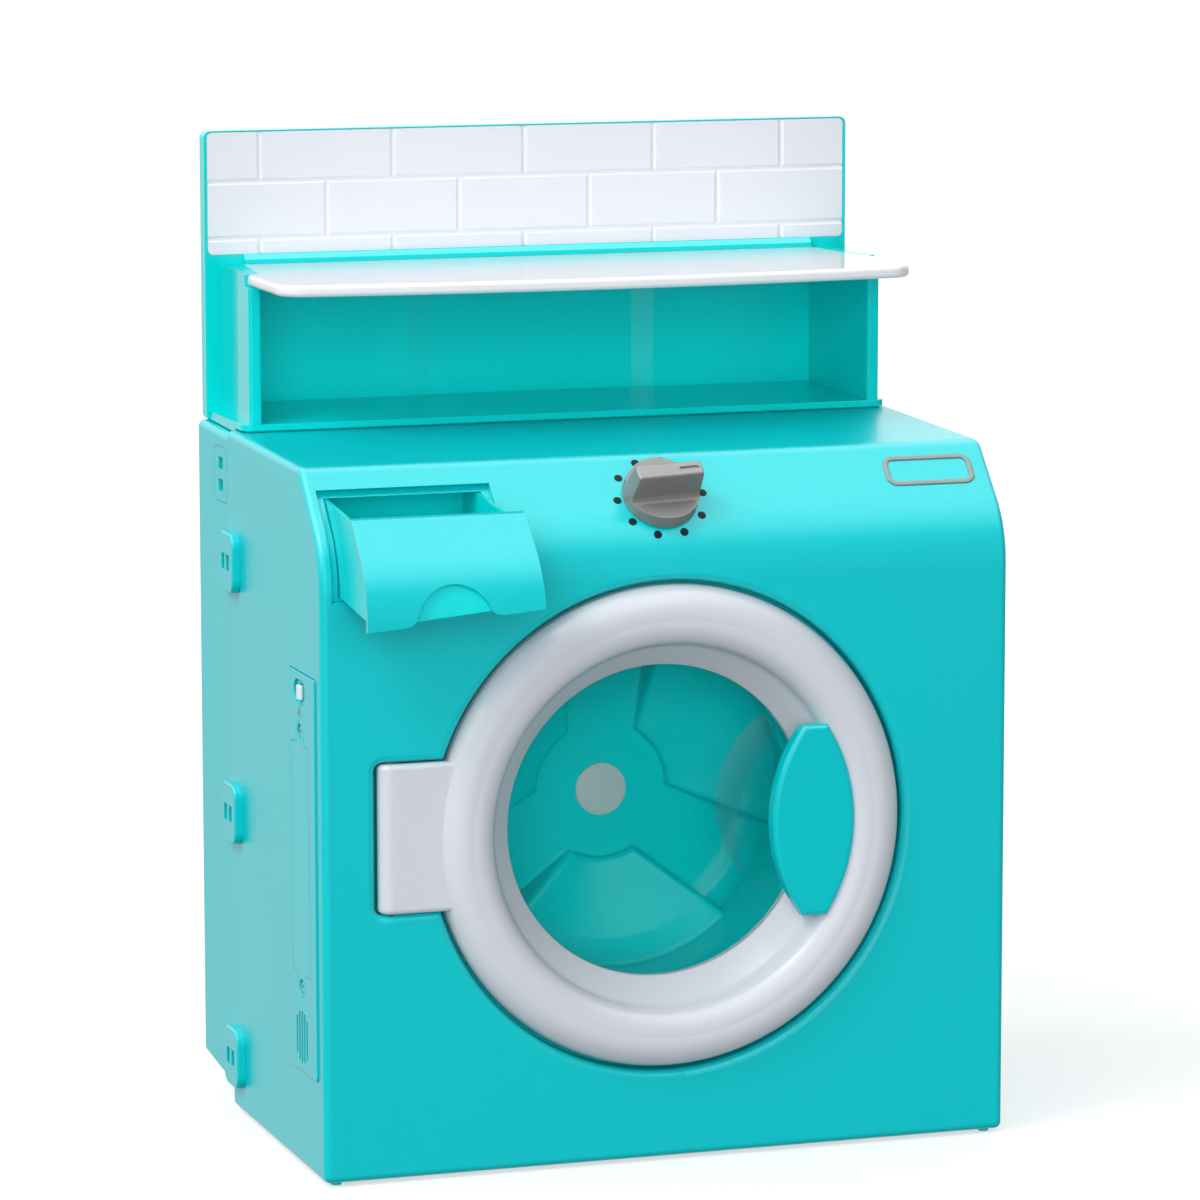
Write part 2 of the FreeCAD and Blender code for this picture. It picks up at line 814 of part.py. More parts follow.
def hutch_locks():
    pegs = lock_boxes(lock_peg_wall, lock_peg_wall, 0, lock_peg_length)
    cores = lock_boxes(0, 0, 0, lock_core_depth)
    lock = lock_face(0, lock_plate - touch).fuse(pegs).cut(cores).removeSplitter()
    return both_sides(lock)


# Hutch
def hutch_tongue(grow, above):
    """Tongue under the hutch base, on the right side."""
    outer = half_width - tongue_inset + grow
    inner = half_width - tongue_inset - tongue_thickness - grow
    top = rear_top_at(lock_y)
    return block((inner, lock_y - tongue_width / 2 - grow, top - tongue_reach - grow),
                 (outer, lock_y + tongue_width / 2 + grow, top + above))


def hutch_bed(inset, rise):
    """Slab over both shells' tops, a rise above them, stepped down behind the seam."""
    near, step = hutch_front + inset, seam_depth + fit_gap
    side = hutch_half_width - inset
    steps = [(near, top_at(near) + rise), (step, top_at(step) + rise), (step, rear_top_at(step) + rise),
             (panel_front, rear_top_at(panel_front) + rise), (panel_front, hutch_base_lip),
             (near, hutch_base_lip)]
    return outline(steps, lambda a, b: vec(-side, a, b)).extrude(vec(2 * side, 0, 0))


def hutch_base():
    slab = hutch_bed(0, hutch_base_gap)
    corners = edges_where(slab, lambda p: abs(p.y - hutch_front) < touch)
    upright = [edge for edge in corners if abs(edge.Vertexes[0].Point.x - edge.Vertexes[1].Point.x) < touch]
    slab = slab.makeFillet(hutch_base_corner, upright)
    plinth = hutch_bed(hutch_plinth_inset, 0)
    floor = outline([(hutch_front + post_edge, hutch_base_lip), (panel_front, hutch_base_lip),
                     (panel_front, hutch_floor_rear)], lambda a, b: vec(-hutch_half_width, a, b))
    floor = floor.extrude(vec(2 * hutch_half_width, 0, 0)).common(between_walls())
    tongue = hutch_tongue(0, hutch_base_gap + touch)
    pegs = lock_boxes(lock_peg_wall + fit_gap, lock_peg_wall + fit_gap, 0, lock_peg_length + overrun)
    tongues = [piece.cut([peg for peg in mirrored(pegs)]) for piece in mirrored([tongue])]
    return slab.fuse([plinth, floor] + tongues).removeSplitter()


def between_walls():
    """Space between the hutch walls, less a gap, up to the counter."""
    near, far = inner_at(hutch_front) - fit_gap, inner_at(panel_front) - fit_gap
    steps = [(-near, hutch_front), (near, hutch_front), (far, panel_front), (-far, panel_front)]
    face = outline(steps, lambda a, b: vec(a, b, hutch_base_lip))
    return face.extrude(vec(0, 0, counter_bottom - hutch_base_lip))


def hutch_wall():
    """Right side wall: a post at the front, a web set in behind it, an inner face that leans in."""
    post_end = hutch_front + post_depth
    web = wall_outer - web_inset
    steps = [(inner_at(hutch_front), hutch_front), (wall_outer, hutch_front), (wall_outer, post_end),
             (web, post_end),
             (web, panel_front), (inner_at(panel_front), panel_front)]
    face = outline(steps, lambda a, b: vec(a, b, hutch_base_lip))
    body = face.extrude(vec(0, 0, counter_top_height - hutch_base_lip))
    edges = edges_where(body, lambda p: abs(p.y - hutch_front) < touch)
    upright = [edge for edge in edges if abs(edge.Vertexes[0].Point.x - edge.Vertexes[1].Point.x) < touch]
    body = body.makeFillet(post_edge, upright)
    notch = block((inner_at(panel_front) - overrun, hutch_front - overrun, counter_bottom),
                  (wall_outer + overrun, counter_wing_end + fit_gap, counter_top_height + overrun))
    return body.cut(notch).removeSplitter()


def counter_top():
    """Bow-fronted board with wings over the posts and a tongue back to the panel."""
    tongue_end = panel_front - ledge_proud
    near, far = inner_at(counter_wing_end) - fit_gap, inner_at(tongue_end) - fit_gap
    side = counter_half_width
    bow_half = side - counter_corner
    bow_end = counter_front + counter_bow
    lean = 2 * math.atan2(counter_bow, bow_half)
    middle = (lean + math.pi / 2) / 2
    corner = counter_corner / (1 - math.sin(lean))
    bend = (bow_half + corner * (math.sin(middle) - math.sin(lean)),
            bow_end + corner * (math.cos(lean) - math.cos(middle)))
    side_start = bow_end + corner * math.cos(lean)
    steps = [
        (-bow_half, bow_end), [(0, counter_front), (bow_half, bow_end)],
        [bend, (side, side_start)], (side, counter_wing_end),
        (near, counter_wing_end), (far, tongue_end), (-far, tongue_end),
        (-near, counter_wing_end), (-side, counter_wing_end), (-side, side_start),
        [(-bend[0], bend[1]), (-bow_half, bow_end)],
    ]
    board = outline(steps, lambda a, b: vec(a, b, counter_bottom)).extrude(vec(0, 0, counter_thickness))
    rim = edges_where(board, lambda p: p.y < counter_wing_end + touch)
    level = [edge for edge in rim if abs(edge.Vertexes[0].Point.z - edge.Vertexes[1].Point.z) < touch]
    ahead_of_wing = [edge for edge in level
                     if min(v.Point.y for v in edge.Vertexes) < counter_wing_end - touch]
    return board.makeFillet(counter_edge, ahead_of_wing)


def tile_field(grow, depth):
    """Plate of the tiled splash, grown all round."""
    side = panel_half_width - tile_margin + grow
    low = (-side, ledge_top - grow)
    high = (side, tile_top + grow)
    return front_plate(low, high, tile_corner, panel_front, panel_front + depth)


def hutch_back_panel():
    side = panel_half_width
    bottom = rear_top_at(panel_front)
    body = front_plate((-side, bottom), (side, panel_top), panel_corner, panel_front, cabinet_depth)
    rim = edges_where(body, lambda p: abs(p.y - cabinet_depth) < touch)
    body = body.makeFillet(panel_edge, rim)
    start, end = panel_front - overrun, cabinet_depth + overrun
    under = outline([(start, rear_top_at(start)), (end, rear_top_at(end)), (end, bottom - overrun),
                     (start, bottom - overrun)], lambda a, b: vec(-side - overrun, a, b))
    under = under.extrude(vec(2 * (side + overrun), 0, 0))
    inside = inner_at(panel_front) - fit_gap
    near = panel_front - ledge_proud + fit_gap
    ledge = outline([(panel_front, counter_bottom), (near, counter_bottom), (near, ledge_top - ledge_bevel),
                     (near + ledge_bevel, ledge_top), (panel_front, ledge_top)],
                    lambda a, b: vec(-inside, a, b)).extrude(vec(2 * inside, 0, 0))
    deep = panel_front + niche_sink
    niche = outline([(-niche_half_width, panel_front), (-niche_half_width + niche_bevel, deep),
                     (niche_half_width - niche_bevel, deep), (niche_half_width, panel_front)],
                    lambda a, b: vec(a, b, hutch_floor_rear))
    niche = niche.extrude(vec(0, 0, counter_bottom - hutch_floor_rear))
    return body.fuse(ledge).cut([under, niche, tile_field(fit_gap / 2, tile_depth)]).removeSplitter()


def tile_panel():
    """White splash with staggered tile joints as shallow round grooves."""
    plate = tile_field(0, tile_depth)
    axis_y = panel_front - grout_radius + grout_depth
    side = panel_half_width - tile_margin
    levels = [ledge_top] + tile_rows + [tile_top]
    grooves = [Part.makeCylinder(grout_radius, 2 * side, vec(-side, axis_y, level), right)
               for level in tile_rows]
    for row, (low, high) in enumerate(zip(levels, levels[1:])):
        start = tile_joint_offset + tile_length * (row % 2) / 2
        first = start - tile_length * math.floor((start + side - tile_corner) / tile_length)
        for index in range(int((side - tile_corner - first) // tile_length) + 1):
            place = vec(first + index * tile_length, axis_y, low)
            grooves.append(Part.makeCylinder(grout_radius, high - low, place, up))
    return plate.cut(grooves).removeSplitter()


# Drawer
def drawer_front():
    plate = drawer_prism(drawer_face_gap, drawer_face_gap, drawer_face_height - drawer_face_gap,
                         -overrun, drawer_cut_length, drawer_flare)
    plate = plate.common(panel_block(0)).cut([panel_block(drawer_plate), scallop()])
    return plate.removeSplitter().translated(drawer_slide(drawer_extension))


def scallop():
    """Finger scallop: a round bite whose two mouths blend into the bottom edge."""
    reach = math.sqrt((scallop_radius + scallop_blend) ** 2 - (scallop_blend + scallop_drop) ** 2)
    share = scallop_radius / (scallop_radius + scallop_blend)
    meet = (reach * share, (scallop_blend + scallop_drop) * share - scallop_drop)
    bend = math.atan2(reach - meet[0], scallop_blend - meet[1]) / 2
    blend = (reach - scallop_blend * math.sin(bend), scallop_blend - scallop_blend * math.cos(bend))
    steps = [
        (-reach, -overrun), (reach, -overrun), (reach, 0), [blend, meet],
        [(0, scallop_radius - scallop_drop), (-meet[0], meet[1])], [(-blend[0], blend[1]), (-reach, 0)],
    ]
    lean = math.degrees(math.atan2(drawer_skew, drawer_width))
    low = drawer_height + drawer_face_gap
    face = outline(steps, lambda a, b: vec(drawer_centre + a, -overrun, low + b))
    bite = face.extrude(vec(0, drawer_cut_length + overrun, 0))
    bite = bite.rotated(vec(drawer_centre, 0, drawer_height), back, -lean)
    return bite.rotated(vec(0, 0, drawer_height), right, drawer_angle)


def drawer_tray():
    """Open tray behind the drawer's front."""
    edge = drawer_ledge + tray_gap
    low = drawer_sill + fit_gap
    high = drawer_face_height - edge
    body = drawer_prism(edge, low, high, -overrun, tray_length).common(panel_block(drawer_plate))
    side, floor = edge + tray_wall, low + tray_wall
    hollow = drawer_prism(side, floor, high + overrun, -overrun, tray_length - tray_wall)
    hollow = hollow.common(panel_block(drawer_plate + tray_wall))
    return body.cut(hollow).removeSplitter().translated(drawer_slide(drawer_extension))


def drawer_sleeve():
    """Channel behind the panel that the tray runs in."""
    outside = drawer_ledge - sleeve_wall
    body = drawer_prism(outside, drawer_sill - sleeve_wall, sleeve_height, -overrun, sleeve_length)
    space = drawer_prism(drawer_ledge, drawer_sill, sleeve_height + overrun, -overrun,
                         sleeve_length - sleeve_wall)
    return body.common(panel_block(drawer_rebate + wall)).cut(space).removeSplitter()


# Door
def ring_arcs(inset):
    """Crest arcs of the ring's bulge, inset by its wall: rim point, mid, crest, mid, throat."""
    rim = (ring_radius - inset, ring_rim_front)
    crest = (ring_crest_radius, -ring_crest_proud + inset)
    throat = (ring_throat_radius + inset, ring_throat_depth)
    share = ring_bulge_share
    outer = (crest[0] + (rim[0] - crest[0]) * share, crest[1] + (rim[1] - crest[1]) * (1 - share))
    inner = (crest[0] + (throat[0] - crest[0]) * share, crest[1] + (throat[1] - crest[1]) * (1 - share))
    return rim, outer, crest, inner, throat


def throat_end(inset):
    """Inner end of the ring's cone."""
    return (window_view_radius + inset, window_view_depth)


def ring_fill():
    """Everything behind the ring's front face."""
    rim, outer, crest, inner, throat = ring_arcs(0)
    end = throat_end(0)
    deep = window_view_depth + overrun
    fill = turned([rim, [outer, crest], [inner, throat], end, (end[0], deep), (rim[0], deep)])
    return throat_blended(fill)


def throat_blended(solid):
    """A ring with its throat's crease blended."""
    crease = edges_where(solid, lambda p: abs(p.y - ring_throat_depth) < touch
                         and abs(p.x - ring_throat_radius) < touch)
    return solid.makeFillet(ring_throat_blend, crease)


def hinge_tab():
    """Hinge tab beside the ring: a barrel and a flat leaf, cut to the ring's edge."""
    low = hinge_height - hinge_tab_height / 2
    front = hinge_setback - hinge_barrel_radius
    leaf = block((-hinge_offset, front, low), (-ring_crest_radius, hinge_tab_back, low + hinge_tab_height))
    barrel = Part.makeCylinder(hinge_barrel_radius, hinge_tab_height,
                               vec(-hinge_offset, hinge_setback, low), up)
    inside = Part.makeCylinder(ring_radius - ring_tab_reach, 2 * overrun, door_axis + vec(0, -overrun, 0),
                               back)
    tab = barrel.fuse(leaf).removeSplitter()
    ends = edges_where(tab, lambda p: abs(abs(p.z - hinge_height) - hinge_tab_height / 2) < touch)
    ends = [edge for edge in ends if max(v.Point.x for v in edge.Vertexes) < -ring_crest_radius - touch
            or abs(edge.Vertexes[0].Point.y - edge.Vertexes[-1].Point.y) < touch]
    return tab.makeFillet(hinge_tab_corner, ends).cut(inside)


def door_screw_places():
    """Points of the door's screws on the ring's rim, as (x, z)."""
    middle = (ring_radius + ring_crest_radius) / 2
    return around(door_screw_count, middle, 0.5)


def door_ring():
    rim, outer, crest, inner, throat = ring_arcs(0)
    rim_in, outer_in, crest_in, inner_in, throat_in = ring_arcs(ring_wall)
    end = throat_end(0)
    end_in = throat_end(ring_wall)
    body = turned([
        (rim[0], ring_rim_back), rim, [outer, crest], [inner, throat], end, end_in,
        throat_in, [inner_in, crest_in], [outer_in, rim_in], (rim_in[0], ring_rim_back),
    ])
    body = throat_blended(body)
    bosses = []
    for x, z in door_screw_places():
        boss = Part.makeCylinder(door_boss_radius, ring_crest_proud + ring_rim_back,
                                 vec(x, -ring_crest_proud, z), back)
        bosses.append(boss.common(ring_fill()))
    body = body.fuse(bosses + [hinge_tab()])
    holes = [Part.makeCylinder(door_screw_radius, door_screw_length, vec(x, ring_rim_back, z), ahead)
             for x, z in door_screw_places()]
    return body.cut(holes + [hinge_pin_rod(hinge_pin_radius + shaft_gap)]).removeSplitter()


def back_ring_steps():
    """Section of the clamping ring behind the door."""
    flat_back = ring_rim_back + back_ring_thickness
    cone = (ring_throat_radius - window_view_radius) / (window_view_depth - ring_throat_depth)
    skirt = ring_wall + fit_gap

    def cone_at(depth, grow):
        return window_view_radius + grow + (window_view_depth - depth) * cone

    window_back = window_view_depth + window_thickness
    window_edge = window_view_radius + window_lap
    outside = window_edge + fit_gap + back_ring_thickness
    return [
        (ring_radius, ring_rim_back), (ring_radius, flat_back),
        (cone_at(flat_back, skirt + back_ring_thickness), flat_back),
        (outside, window_view_depth), (outside, window_back + window_flange),
        (window_view_radius + touch, window_back + window_flange),
        (window_view_radius + touch, window_back + fit_gap),
        (window_edge + fit_gap, window_back + fit_gap), (window_edge + fit_gap, window_view_depth + touch),
        (cone_at(window_view_depth, skirt), window_view_depth + touch),
        (cone_at(ring_rim_back, skirt), ring_rim_back),
    ]


def door_back_ring():
    body = turned(back_ring_steps())
    holes = [Part.makeCylinder(door_screw_radius, back_ring_thickness + 2 * touch,
                               vec(x, ring_rim_back - touch, z), back)
             for x, z in door_screw_places()]
    heads = [Part.makeCylinder(door_screw_head_radius, door_screw_head + touch,
                               vec(x, ring_rim_back + back_ring_thickness - door_screw_head, z), back)
             for x, z in door_screw_places()]
    return body.cut(holes + heads).removeSplitter()


def door_screws():
    screws = []
    for x, z in door_screw_places():
        rear = ring_rim_back + back_ring_thickness
        head = Part.makeCylinder(door_screw_head_radius, door_screw_head, vec(x, rear - door_screw_head, z),
                                 back)
        shank = Part.makeCylinder(door_screw_radius,
                                  back_ring_thickness - door_screw_head + door_screw_length,
                                  vec(x, rear - door_screw_head, z), ahead)
        screws.append(head.fuse(shank))
    return Part.makeCompound(screws)


def door_window():
    """Clear disc with a round finger dimple behind the handle."""
    front = window_view_depth + touch
    radius = (dimple_radius ** 2 + dimple_depth ** 2) / (2 * dimple_depth)
    centre = vec(dimple_offset, front + dimple_depth - radius, door_height + dimple_rise)
    limit = window_view_radius - dimple_margin
    deep = dimple_depth + overrun
    disc = Part.makeCylinder(window_view_radius + window_lap, window_thickness,
                             door_axis + vec(0, front, 0), back)
    bowl = Part.makeSphere(radius + window_thickness, centre)
    bowl = bowl.common(Part.makeCylinder(limit, deep, door_axis + vec(0, front, 0), back))
    hollow = Part.makeSphere(radius, centre)
    hollow = hollow.common(Part.makeCylinder(limit - window_thickness, 2 * deep,
                                             door_axis + vec(0, front - deep, 0), back))
    return disc.fuse(bowl).cut(hollow).removeSplitter()


def door_handle():
    """Lens-shaped grip across the ring's right inner edge."""
    tip = handle_half_height
    flat = handle_tip_half
    steps = [
        (handle_offset - flat, -tip), (handle_offset + flat, -tip),
        [(handle_offset + handle_bulge_out, 0), (handle_offset + flat, tip)],
        (handle_offset - flat, tip),
        [(handle_offset - handle_bulge_in, 0), (handle_offset - flat, -tip)],
    ]
    face = outline(steps, lambda a, b: vec(a, -handle_proud, door_height + b))
    grip = face.extrude(vec(0, handle_thickness, 0))
    rim = edges_where(grip, lambda p: abs(p.y + handle_proud) < touch)
    return grip.makeFillet(handle_edge, rim).cut(ring_fill()).removeSplitter()


# Drum
def lobe(turn, inset):
    """Sloped lobe between two arms of the drum's floor; an inset gives the hollow behind it."""
    outer = drum_back_radius - drum_wall / 2 - inset
    top = drum_floor - lobe_rise + inset
    low = drum_floor + inset
    deep = drum_floor + (overrun if inset else drum_wall / 2)
    start = hub_radius + inset
    section = turned([(start, deep), (start, low - lobe_step), (lobe_radius, top), (outer, top - lobe_crown),
                      (outer, deep)])
    spread = math.pi / 3 - math.radians(arm_flare)
    apex = lobe_apex + inset / math.sin(spread)
    far = 2 * drum_radius

    def point(length, angle):
        return (length * math.cos(angle), length * math.sin(angle))

    corner = point(apex, turn)
    one = point(far, turn - spread)
    two = point(far, turn + spread)
    tip = point(2 * far, turn)
    steps = [corner, (corner[0] + one[0], corner[1] + one[1]), tip, (corner[0] + two[0], corner[1] + two[1])]
    wedge = outline(steps, lambda a, b: vec(a, 0, door_height + b))
    solid = section.common(wedge.extrude(vec(0, 2 * cabinet_depth, 0)))
    return solid if inset else solid.makeFillet(lobe_round, lobe_rim(solid))


def lobe_rim(solid):
    """Edges round a lobe's raised face, less the arcs where its slope changes."""
    chosen = []
    for edge in edges_where(solid, lambda p: p.y < drum_floor - touch):
        away = [math.hypot(v.Point.x, v.Point.z - door_height) for v in edge.Vertexes]
        if max(away) - min(away) > touch or max(away) < lobe_radius - touch:
            chosen.append(edge)
    return chosen


def drum_tub():
    inside = drum_back_radius - drum_wall
    bend = drum_corner * (1 - math.sqrt(0.5))
    body = turned([
        (0, drum_floor + drum_wall), (drum_back_radius, drum_floor + drum_wall),
        (drum_radius, drum_front),
        (drum_lip_radius, drum_front), (drum_lip_radius, drum_front + drum_wall),
        (drum_radius - drum_wall, drum_front + drum_wall), (inside, drum_floor - drum_corner),
        [(inside - bend, drum_floor - bend), (inside - drum_corner, drum_floor)], (0, drum_floor),
    ])
    turns = [2 * math.pi * (index + lobe_turn_share) / lobe_count for index in range(lobe_count)]
    boss_end = drum_floor + hub_boss_length
    boss = tube(drum_floor, boss_end, hub_boss_radius, bush_radius)
    body = body.fuse([lobe(turn, 0) for turn in turns] + [boss])
    body = body.cut([lobe(turn, drum_wall) for turn in turns])
    body = body.fuse(tube(drum_floor, drum_floor + drum_wall, hub_radius, bush_radius))
    core = Part.makeCylinder(counterbore_radius, counterbore_depth, door_axis + vec(0, drum_floor, 0), back)
    bore = Part.makeCylinder(bush_radius, 2 * hub_boss_length, door_axis + vec(0, drum_floor, 0), back)
    return body.cut([core, bore]).removeSplitter()


def drum_cap():
    """Silver cap pressed into the hub, slightly domed."""
    face = drum_floor - cap_thickness
    spigot = cap_spigot_radius - cap_spigot_wall
    end = drum_floor + cap_spigot_length
    return turned([
        (0, face), [(cap_radius / 2, face + cap_dome / 4), (cap_radius, face + cap_dome)],
        (cap_radius, drum_floor), (cap_spigot_radius, drum_floor), (cap_spigot_radius, end),
        (spigot, end), (spigot, drum_floor), (0, drum_floor),
    ])


def drum_bush():
    start = drum_floor + counterbore_depth
    return tube(start, drum_floor + hub_boss_length, bush_radius, axle_radius + shaft_gap)


def drum_axle():
    head_end = drum_floor + counterbore_depth - thrust_gap
    end = drum_floor + hub_boss_length + thrust_gap + axle_grip
    return turned([(0, head_end - axle_head), (axle_head_radius, head_end - axle_head),
                   (axle_head_radius, head_end),
                   (axle_radius, head_end), (axle_radius, end), (0, end)])


def drum_bracket():
    """Tower on the rear wall that holds the axle."""
    nose = drum_floor + hub_boss_length + thrust_gap
    root = cabinet_depth - wall
    bore = axle_radius + touch
    body = turned([
        (bore, nose), (bracket_nose_radius, nose), (bracket_root_radius, root - bracket_flange),
        (bracket_flange_radius, root - bracket_flange), (bracket_flange_radius, root), (0, root),
        (0, nose + axle_grip + touch), (bore, nose + axle_grip + touch),
    ])
    holes = [Part.makeCylinder(bracket_screw_radius, bracket_flange + overrun,
                               vec(x, root - bracket_flange, z), back)
             for x, z in around(bracket_screw_count, bracket_screw_circle, 0.5)]
    return body.cut(holes).removeSplitter()


def bracket_screws():
    screws = []
    start = cabinet_depth - wall - bracket_flange
    for x, z in around(bracket_screw_count, bracket_screw_circle, 0.5):
        head = Part.makeCylinder(bracket_screw_head_radius, bracket_screw_head,
                                 vec(x, start - bracket_screw_head, z), back)
        shank = Part.makeCylinder(bracket_screw_radius - touch, bracket_flange + wall, vec(x, start, z),
                                  back)
        screws.append(head.fuse(shank))
    return Part.makeCompound(screws)


# Knob
def knob():
    """Round knob cut down on two sides to leave a grip bar along X, with a pointer slot at its right end."""
    body = Part.makeCone(knob_radius, knob_top_radius, knob_height - knob_lift, vec(0, 0, knob_lift), up)
    bend = knob_foot_round * (1 - math.sqrt(0.5))
    wide = knob_radius + overrun
    steps = [
        (knob_bar_half, knob_height + overrun), (knob_bar_half, knob_height),
        (knob_foot_half, knob_floor + knob_foot_round),
        [(knob_foot_half + bend, knob_floor + bend), (knob_foot_half + knob_foot_round, knob_floor)],
        (knob_radius, knob_lip), (wide, knob_lip), (wide, knob_height + overrun),
    ]
    side = outline(steps, lambda a, b: vec(-wide, a, b)).extrude(vec(2 * wide, 0, 0))
    body = body.cut([side, side.mirror(vec(0, 0, 0), back)])
    top = edges_where(body, lambda p: abs(p.z - knob_height) < touch)
    body = body.makeFillet(knob_edge, top)
    low, high = (pointer_start, -pointer_half), (pointer_end, pointer_half)
    slot_floor = knob_height - pointer_depth
    slot = outline(round_rect(low, high, pointer_half - touch), lambda a, b: vec(a, b, slot_floor))
    pilot = knob_rod(knob_screw_radius, -overrun, spindle_end() + knob_screw_length)
    body = body.cut([slot.extrude(vec(0, 0, overrun)), pilot]).rotated(vec(0, 0, 0), up, knob_rest_turn)
    return knob_place(body.removeSplitter())


def spindle_end():
    """Inner end of the spindle along the knob's axis."""
    return -knob_boss_depth - click_wheel_drop - click_wheel_thickness


def knob_spindle():
    rod = knob_rod(spindle_radius, spindle_end(), knob_lift)
    return knob_place(rod.cut(knob_rod(knob_screw_radius, spindle_end() - overrun, overrun)))


def click_wheel():
    """Notched wheel on the spindle."""
    low = spindle_end()
    wheel = knob_rod(click_wheel_radius, low, low + click_wheel_thickness)
    notches = []
    for index in range(click_count):
        turn = 2 * math.pi * index / click_count
        place = vec(click_wheel_radius * math.cos(turn), click_wheel_radius * math.sin(turn), low)
        notches.append(Part.makeCylinder(click_notch_radius, click_wheel_thickness, place, up))
    return knob_place(wheel.cut(notches + [knob_rod(spindle_radius, low, overrun)]).removeSplitter())


def click_spring():
    """Leaf beside the click wheel, fixed under the panel's boss."""
    inner = click_wheel_radius + click_spring_gap
    low = spindle_end()
    leaf = block((inner, -click_spring_half, low),
                 (inner + click_spring_thickness, click_spring_half, -knob_boss_depth))
    return knob_place(leaf)


def knob_screw():
    start = spindle_end()
    head = knob_rod(knob_screw_head_radius, start - knob_screw_head, start)
    shank = knob_rod(knob_screw_radius, start, start + knob_screw_length)
    return knob_place(head.fuse(shank))


# Sound module
module_face = -half_width - module_proud
module_inner = -half_width + wall
box_low = (module_box_front, module_bottom + module_box_margin)
box_high = (module_back - module_box_margin, module_top - module_box_margin)
box_end = module_face + module_box_depth
bay_front = module_axis - bay_width / 2
bay_back = module_axis + bay_width / 2
bay_floor = module_face + bay_depth
cover_screw_heights = (bay_bottom - cover_screw_reach, bay_top + cover_screw_reach)


def cover_outline(grow, x_from, x_to):
    """Battery cover with a round-ended tab at each end, grown all round."""
    body = side_plate((bay_front - grow, bay_bottom - grow), (bay_back + grow, bay_top + grow), bay_corner,
                      x_from, x_to)
    half = cover_tab_half + grow
    low = (module_axis - half, bay_bottom - cover_tab_reach - grow)
    high = (module_axis + half, bay_top + cover_tab_reach + grow)
    return body.fuse(side_plate(low, high, half - touch, x_from, x_to)).removeSplitter()


def grille_slots():
    slots = []
    for index in range(grille_slot_count):
        across = (index - (grille_slot_count - 1) / 2) * grille_slot_pitch
        half = math.sqrt(grille_radius ** 2 - across ** 2)
        low = (module_axis + across - grille_slot_half, grille_height - half)
        high = (module_axis + across + grille_slot_half, grille_height + half)
        slots.append(side_plate(low, high, grille_slot_half - touch, module_face - overrun,
                                module_inner + overrun))
    return slots


def sound_module_case():
    """Raised face with a box behind it: speaker chamber, battery bay and switch chamber."""
    face = side_plate((module_front, module_bottom), (module_back, module_top), module_corner, module_face,
                      module_inner)
    box = block((module_inner, box_low[0], box_low[1]), (box_end, box_high[0], box_high[1]))
    flange = side_plate((module_front - module_flange, module_bottom - module_flange),
                        (module_back + module_flange, module_top + module_flange), module_corner,
                        module_inner, module_inner + module_flange_thickness)
    near, far = box_low[0] + module_wall, box_high[0] - module_wall
    speaker_room = block((module_inner, near, box_low[1] + module_wall),
                         (box_end, far, bay_bottom - cover_tab_reach - module_wall))
    switch_room = block((module_inner, near, bay_top + cover_tab_reach + module_wall),
                        (box_end, far, box_high[1] - module_wall))
    under_bay = block((bay_floor + module_wall, near, bay_bottom - cover_tab_reach),
                      (box_end, far, bay_top + cover_tab_reach))
    bay = block((module_face - overrun, bay_front + bay_ledge, bay_bottom + bay_end_ledge),
                (bay_floor, bay_back - bay_ledge, bay_top - bay_end_ledge))
    seat = cover_outline(cover_gap, module_face - overrun, module_face + cover_thickness)
    wide, tall = switch_recess_half_width, switch_recess_half_height
    recess = side_plate((module_axis - wide, switch_height - tall),
                        (module_axis + wide, switch_height + tall),
                        tall - touch, module_face - overrun, module_face + switch_recess_depth)
    wide, tall = switch_slot_half_width, switch_slot_half_height
    slot = block((module_face - overrun, module_axis - wide, switch_height - tall),
                 (module_inner + short_overrun, module_axis + wide, switch_height + tall))
    pilots = [Part.makeCylinder(cover_screw_radius, cover_well_depth + cover_screw_length,
                                vec(module_face, module_axis, height), right)
              for height in cover_screw_heights]
    speaker_seat = Part.makeCylinder(speaker_radius, speaker_depth,
                                     vec(module_inner, module_axis, grille_height), right)
    cuts = [speaker_room, switch_room, under_bay, bay, seat, recess, slot] + grille_slots() + pilots
    body = face.fuse([box, flange]).cut(cuts)
    return body.cut([speaker_seat] + module_screw_holes()).removeSplitter()


def module_screw_places():
    """Screws of the inner cover, at the box's corners, as (y, z)."""
    mid_low = bay_bottom - cover_tab_reach - module_wall / 2
    mid_high = bay_top + cover_tab_reach + module_wall / 2
    return [(module_axis, mid_low), (module_axis, mid_high)]


def module_screw_holes():
    return [Part.makeCylinder(module_screw_radius, module_screw_length,
                              vec(box_end - module_screw_length, y, z), right)
            for y, z in module_screw_places()]


def sound_module_cover():
    plate = block((box_end, box_low[0], box_low[1]),
                  (box_end + module_cover_thickness, box_high[0], box_high[1]))
    holes = [Part.makeCylinder(module_screw_radius, module_cover_thickness, vec(box_end, y, z), right)
             for y, z in module_screw_places()]
    return plate.cut(holes)


def module_screws():
    screws = []
    for y, z in module_screw_places():
        end = box_end + module_cover_thickness
        head = Part.makeCylinder(module_screw_head_radius, module_screw_head, vec(end, y, z), right)
        shank = Part.makeCylinder(module_screw_radius - touch, module_screw_length,
                                  vec(end - module_screw_length, y, z), right)
        screws.append(head.fuse(shank))
    return Part.makeCompound(screws)


def battery_cover():
    body = cover_outline(0, module_face, module_face + cover_thickness)
    wells = [Part.makeCylinder(cover_well_radius, cover_well_depth, vec(module_face, module_axis, height),
                               right)
             for height in cover_screw_heights]
    holes = [Part.makeCylinder(cover_screw_radius, cover_thickness, vec(module_face, module_axis, height),
                               right)
             for height in cover_screw_heights]
    return body.cut(wells + holes).removeSplitter()


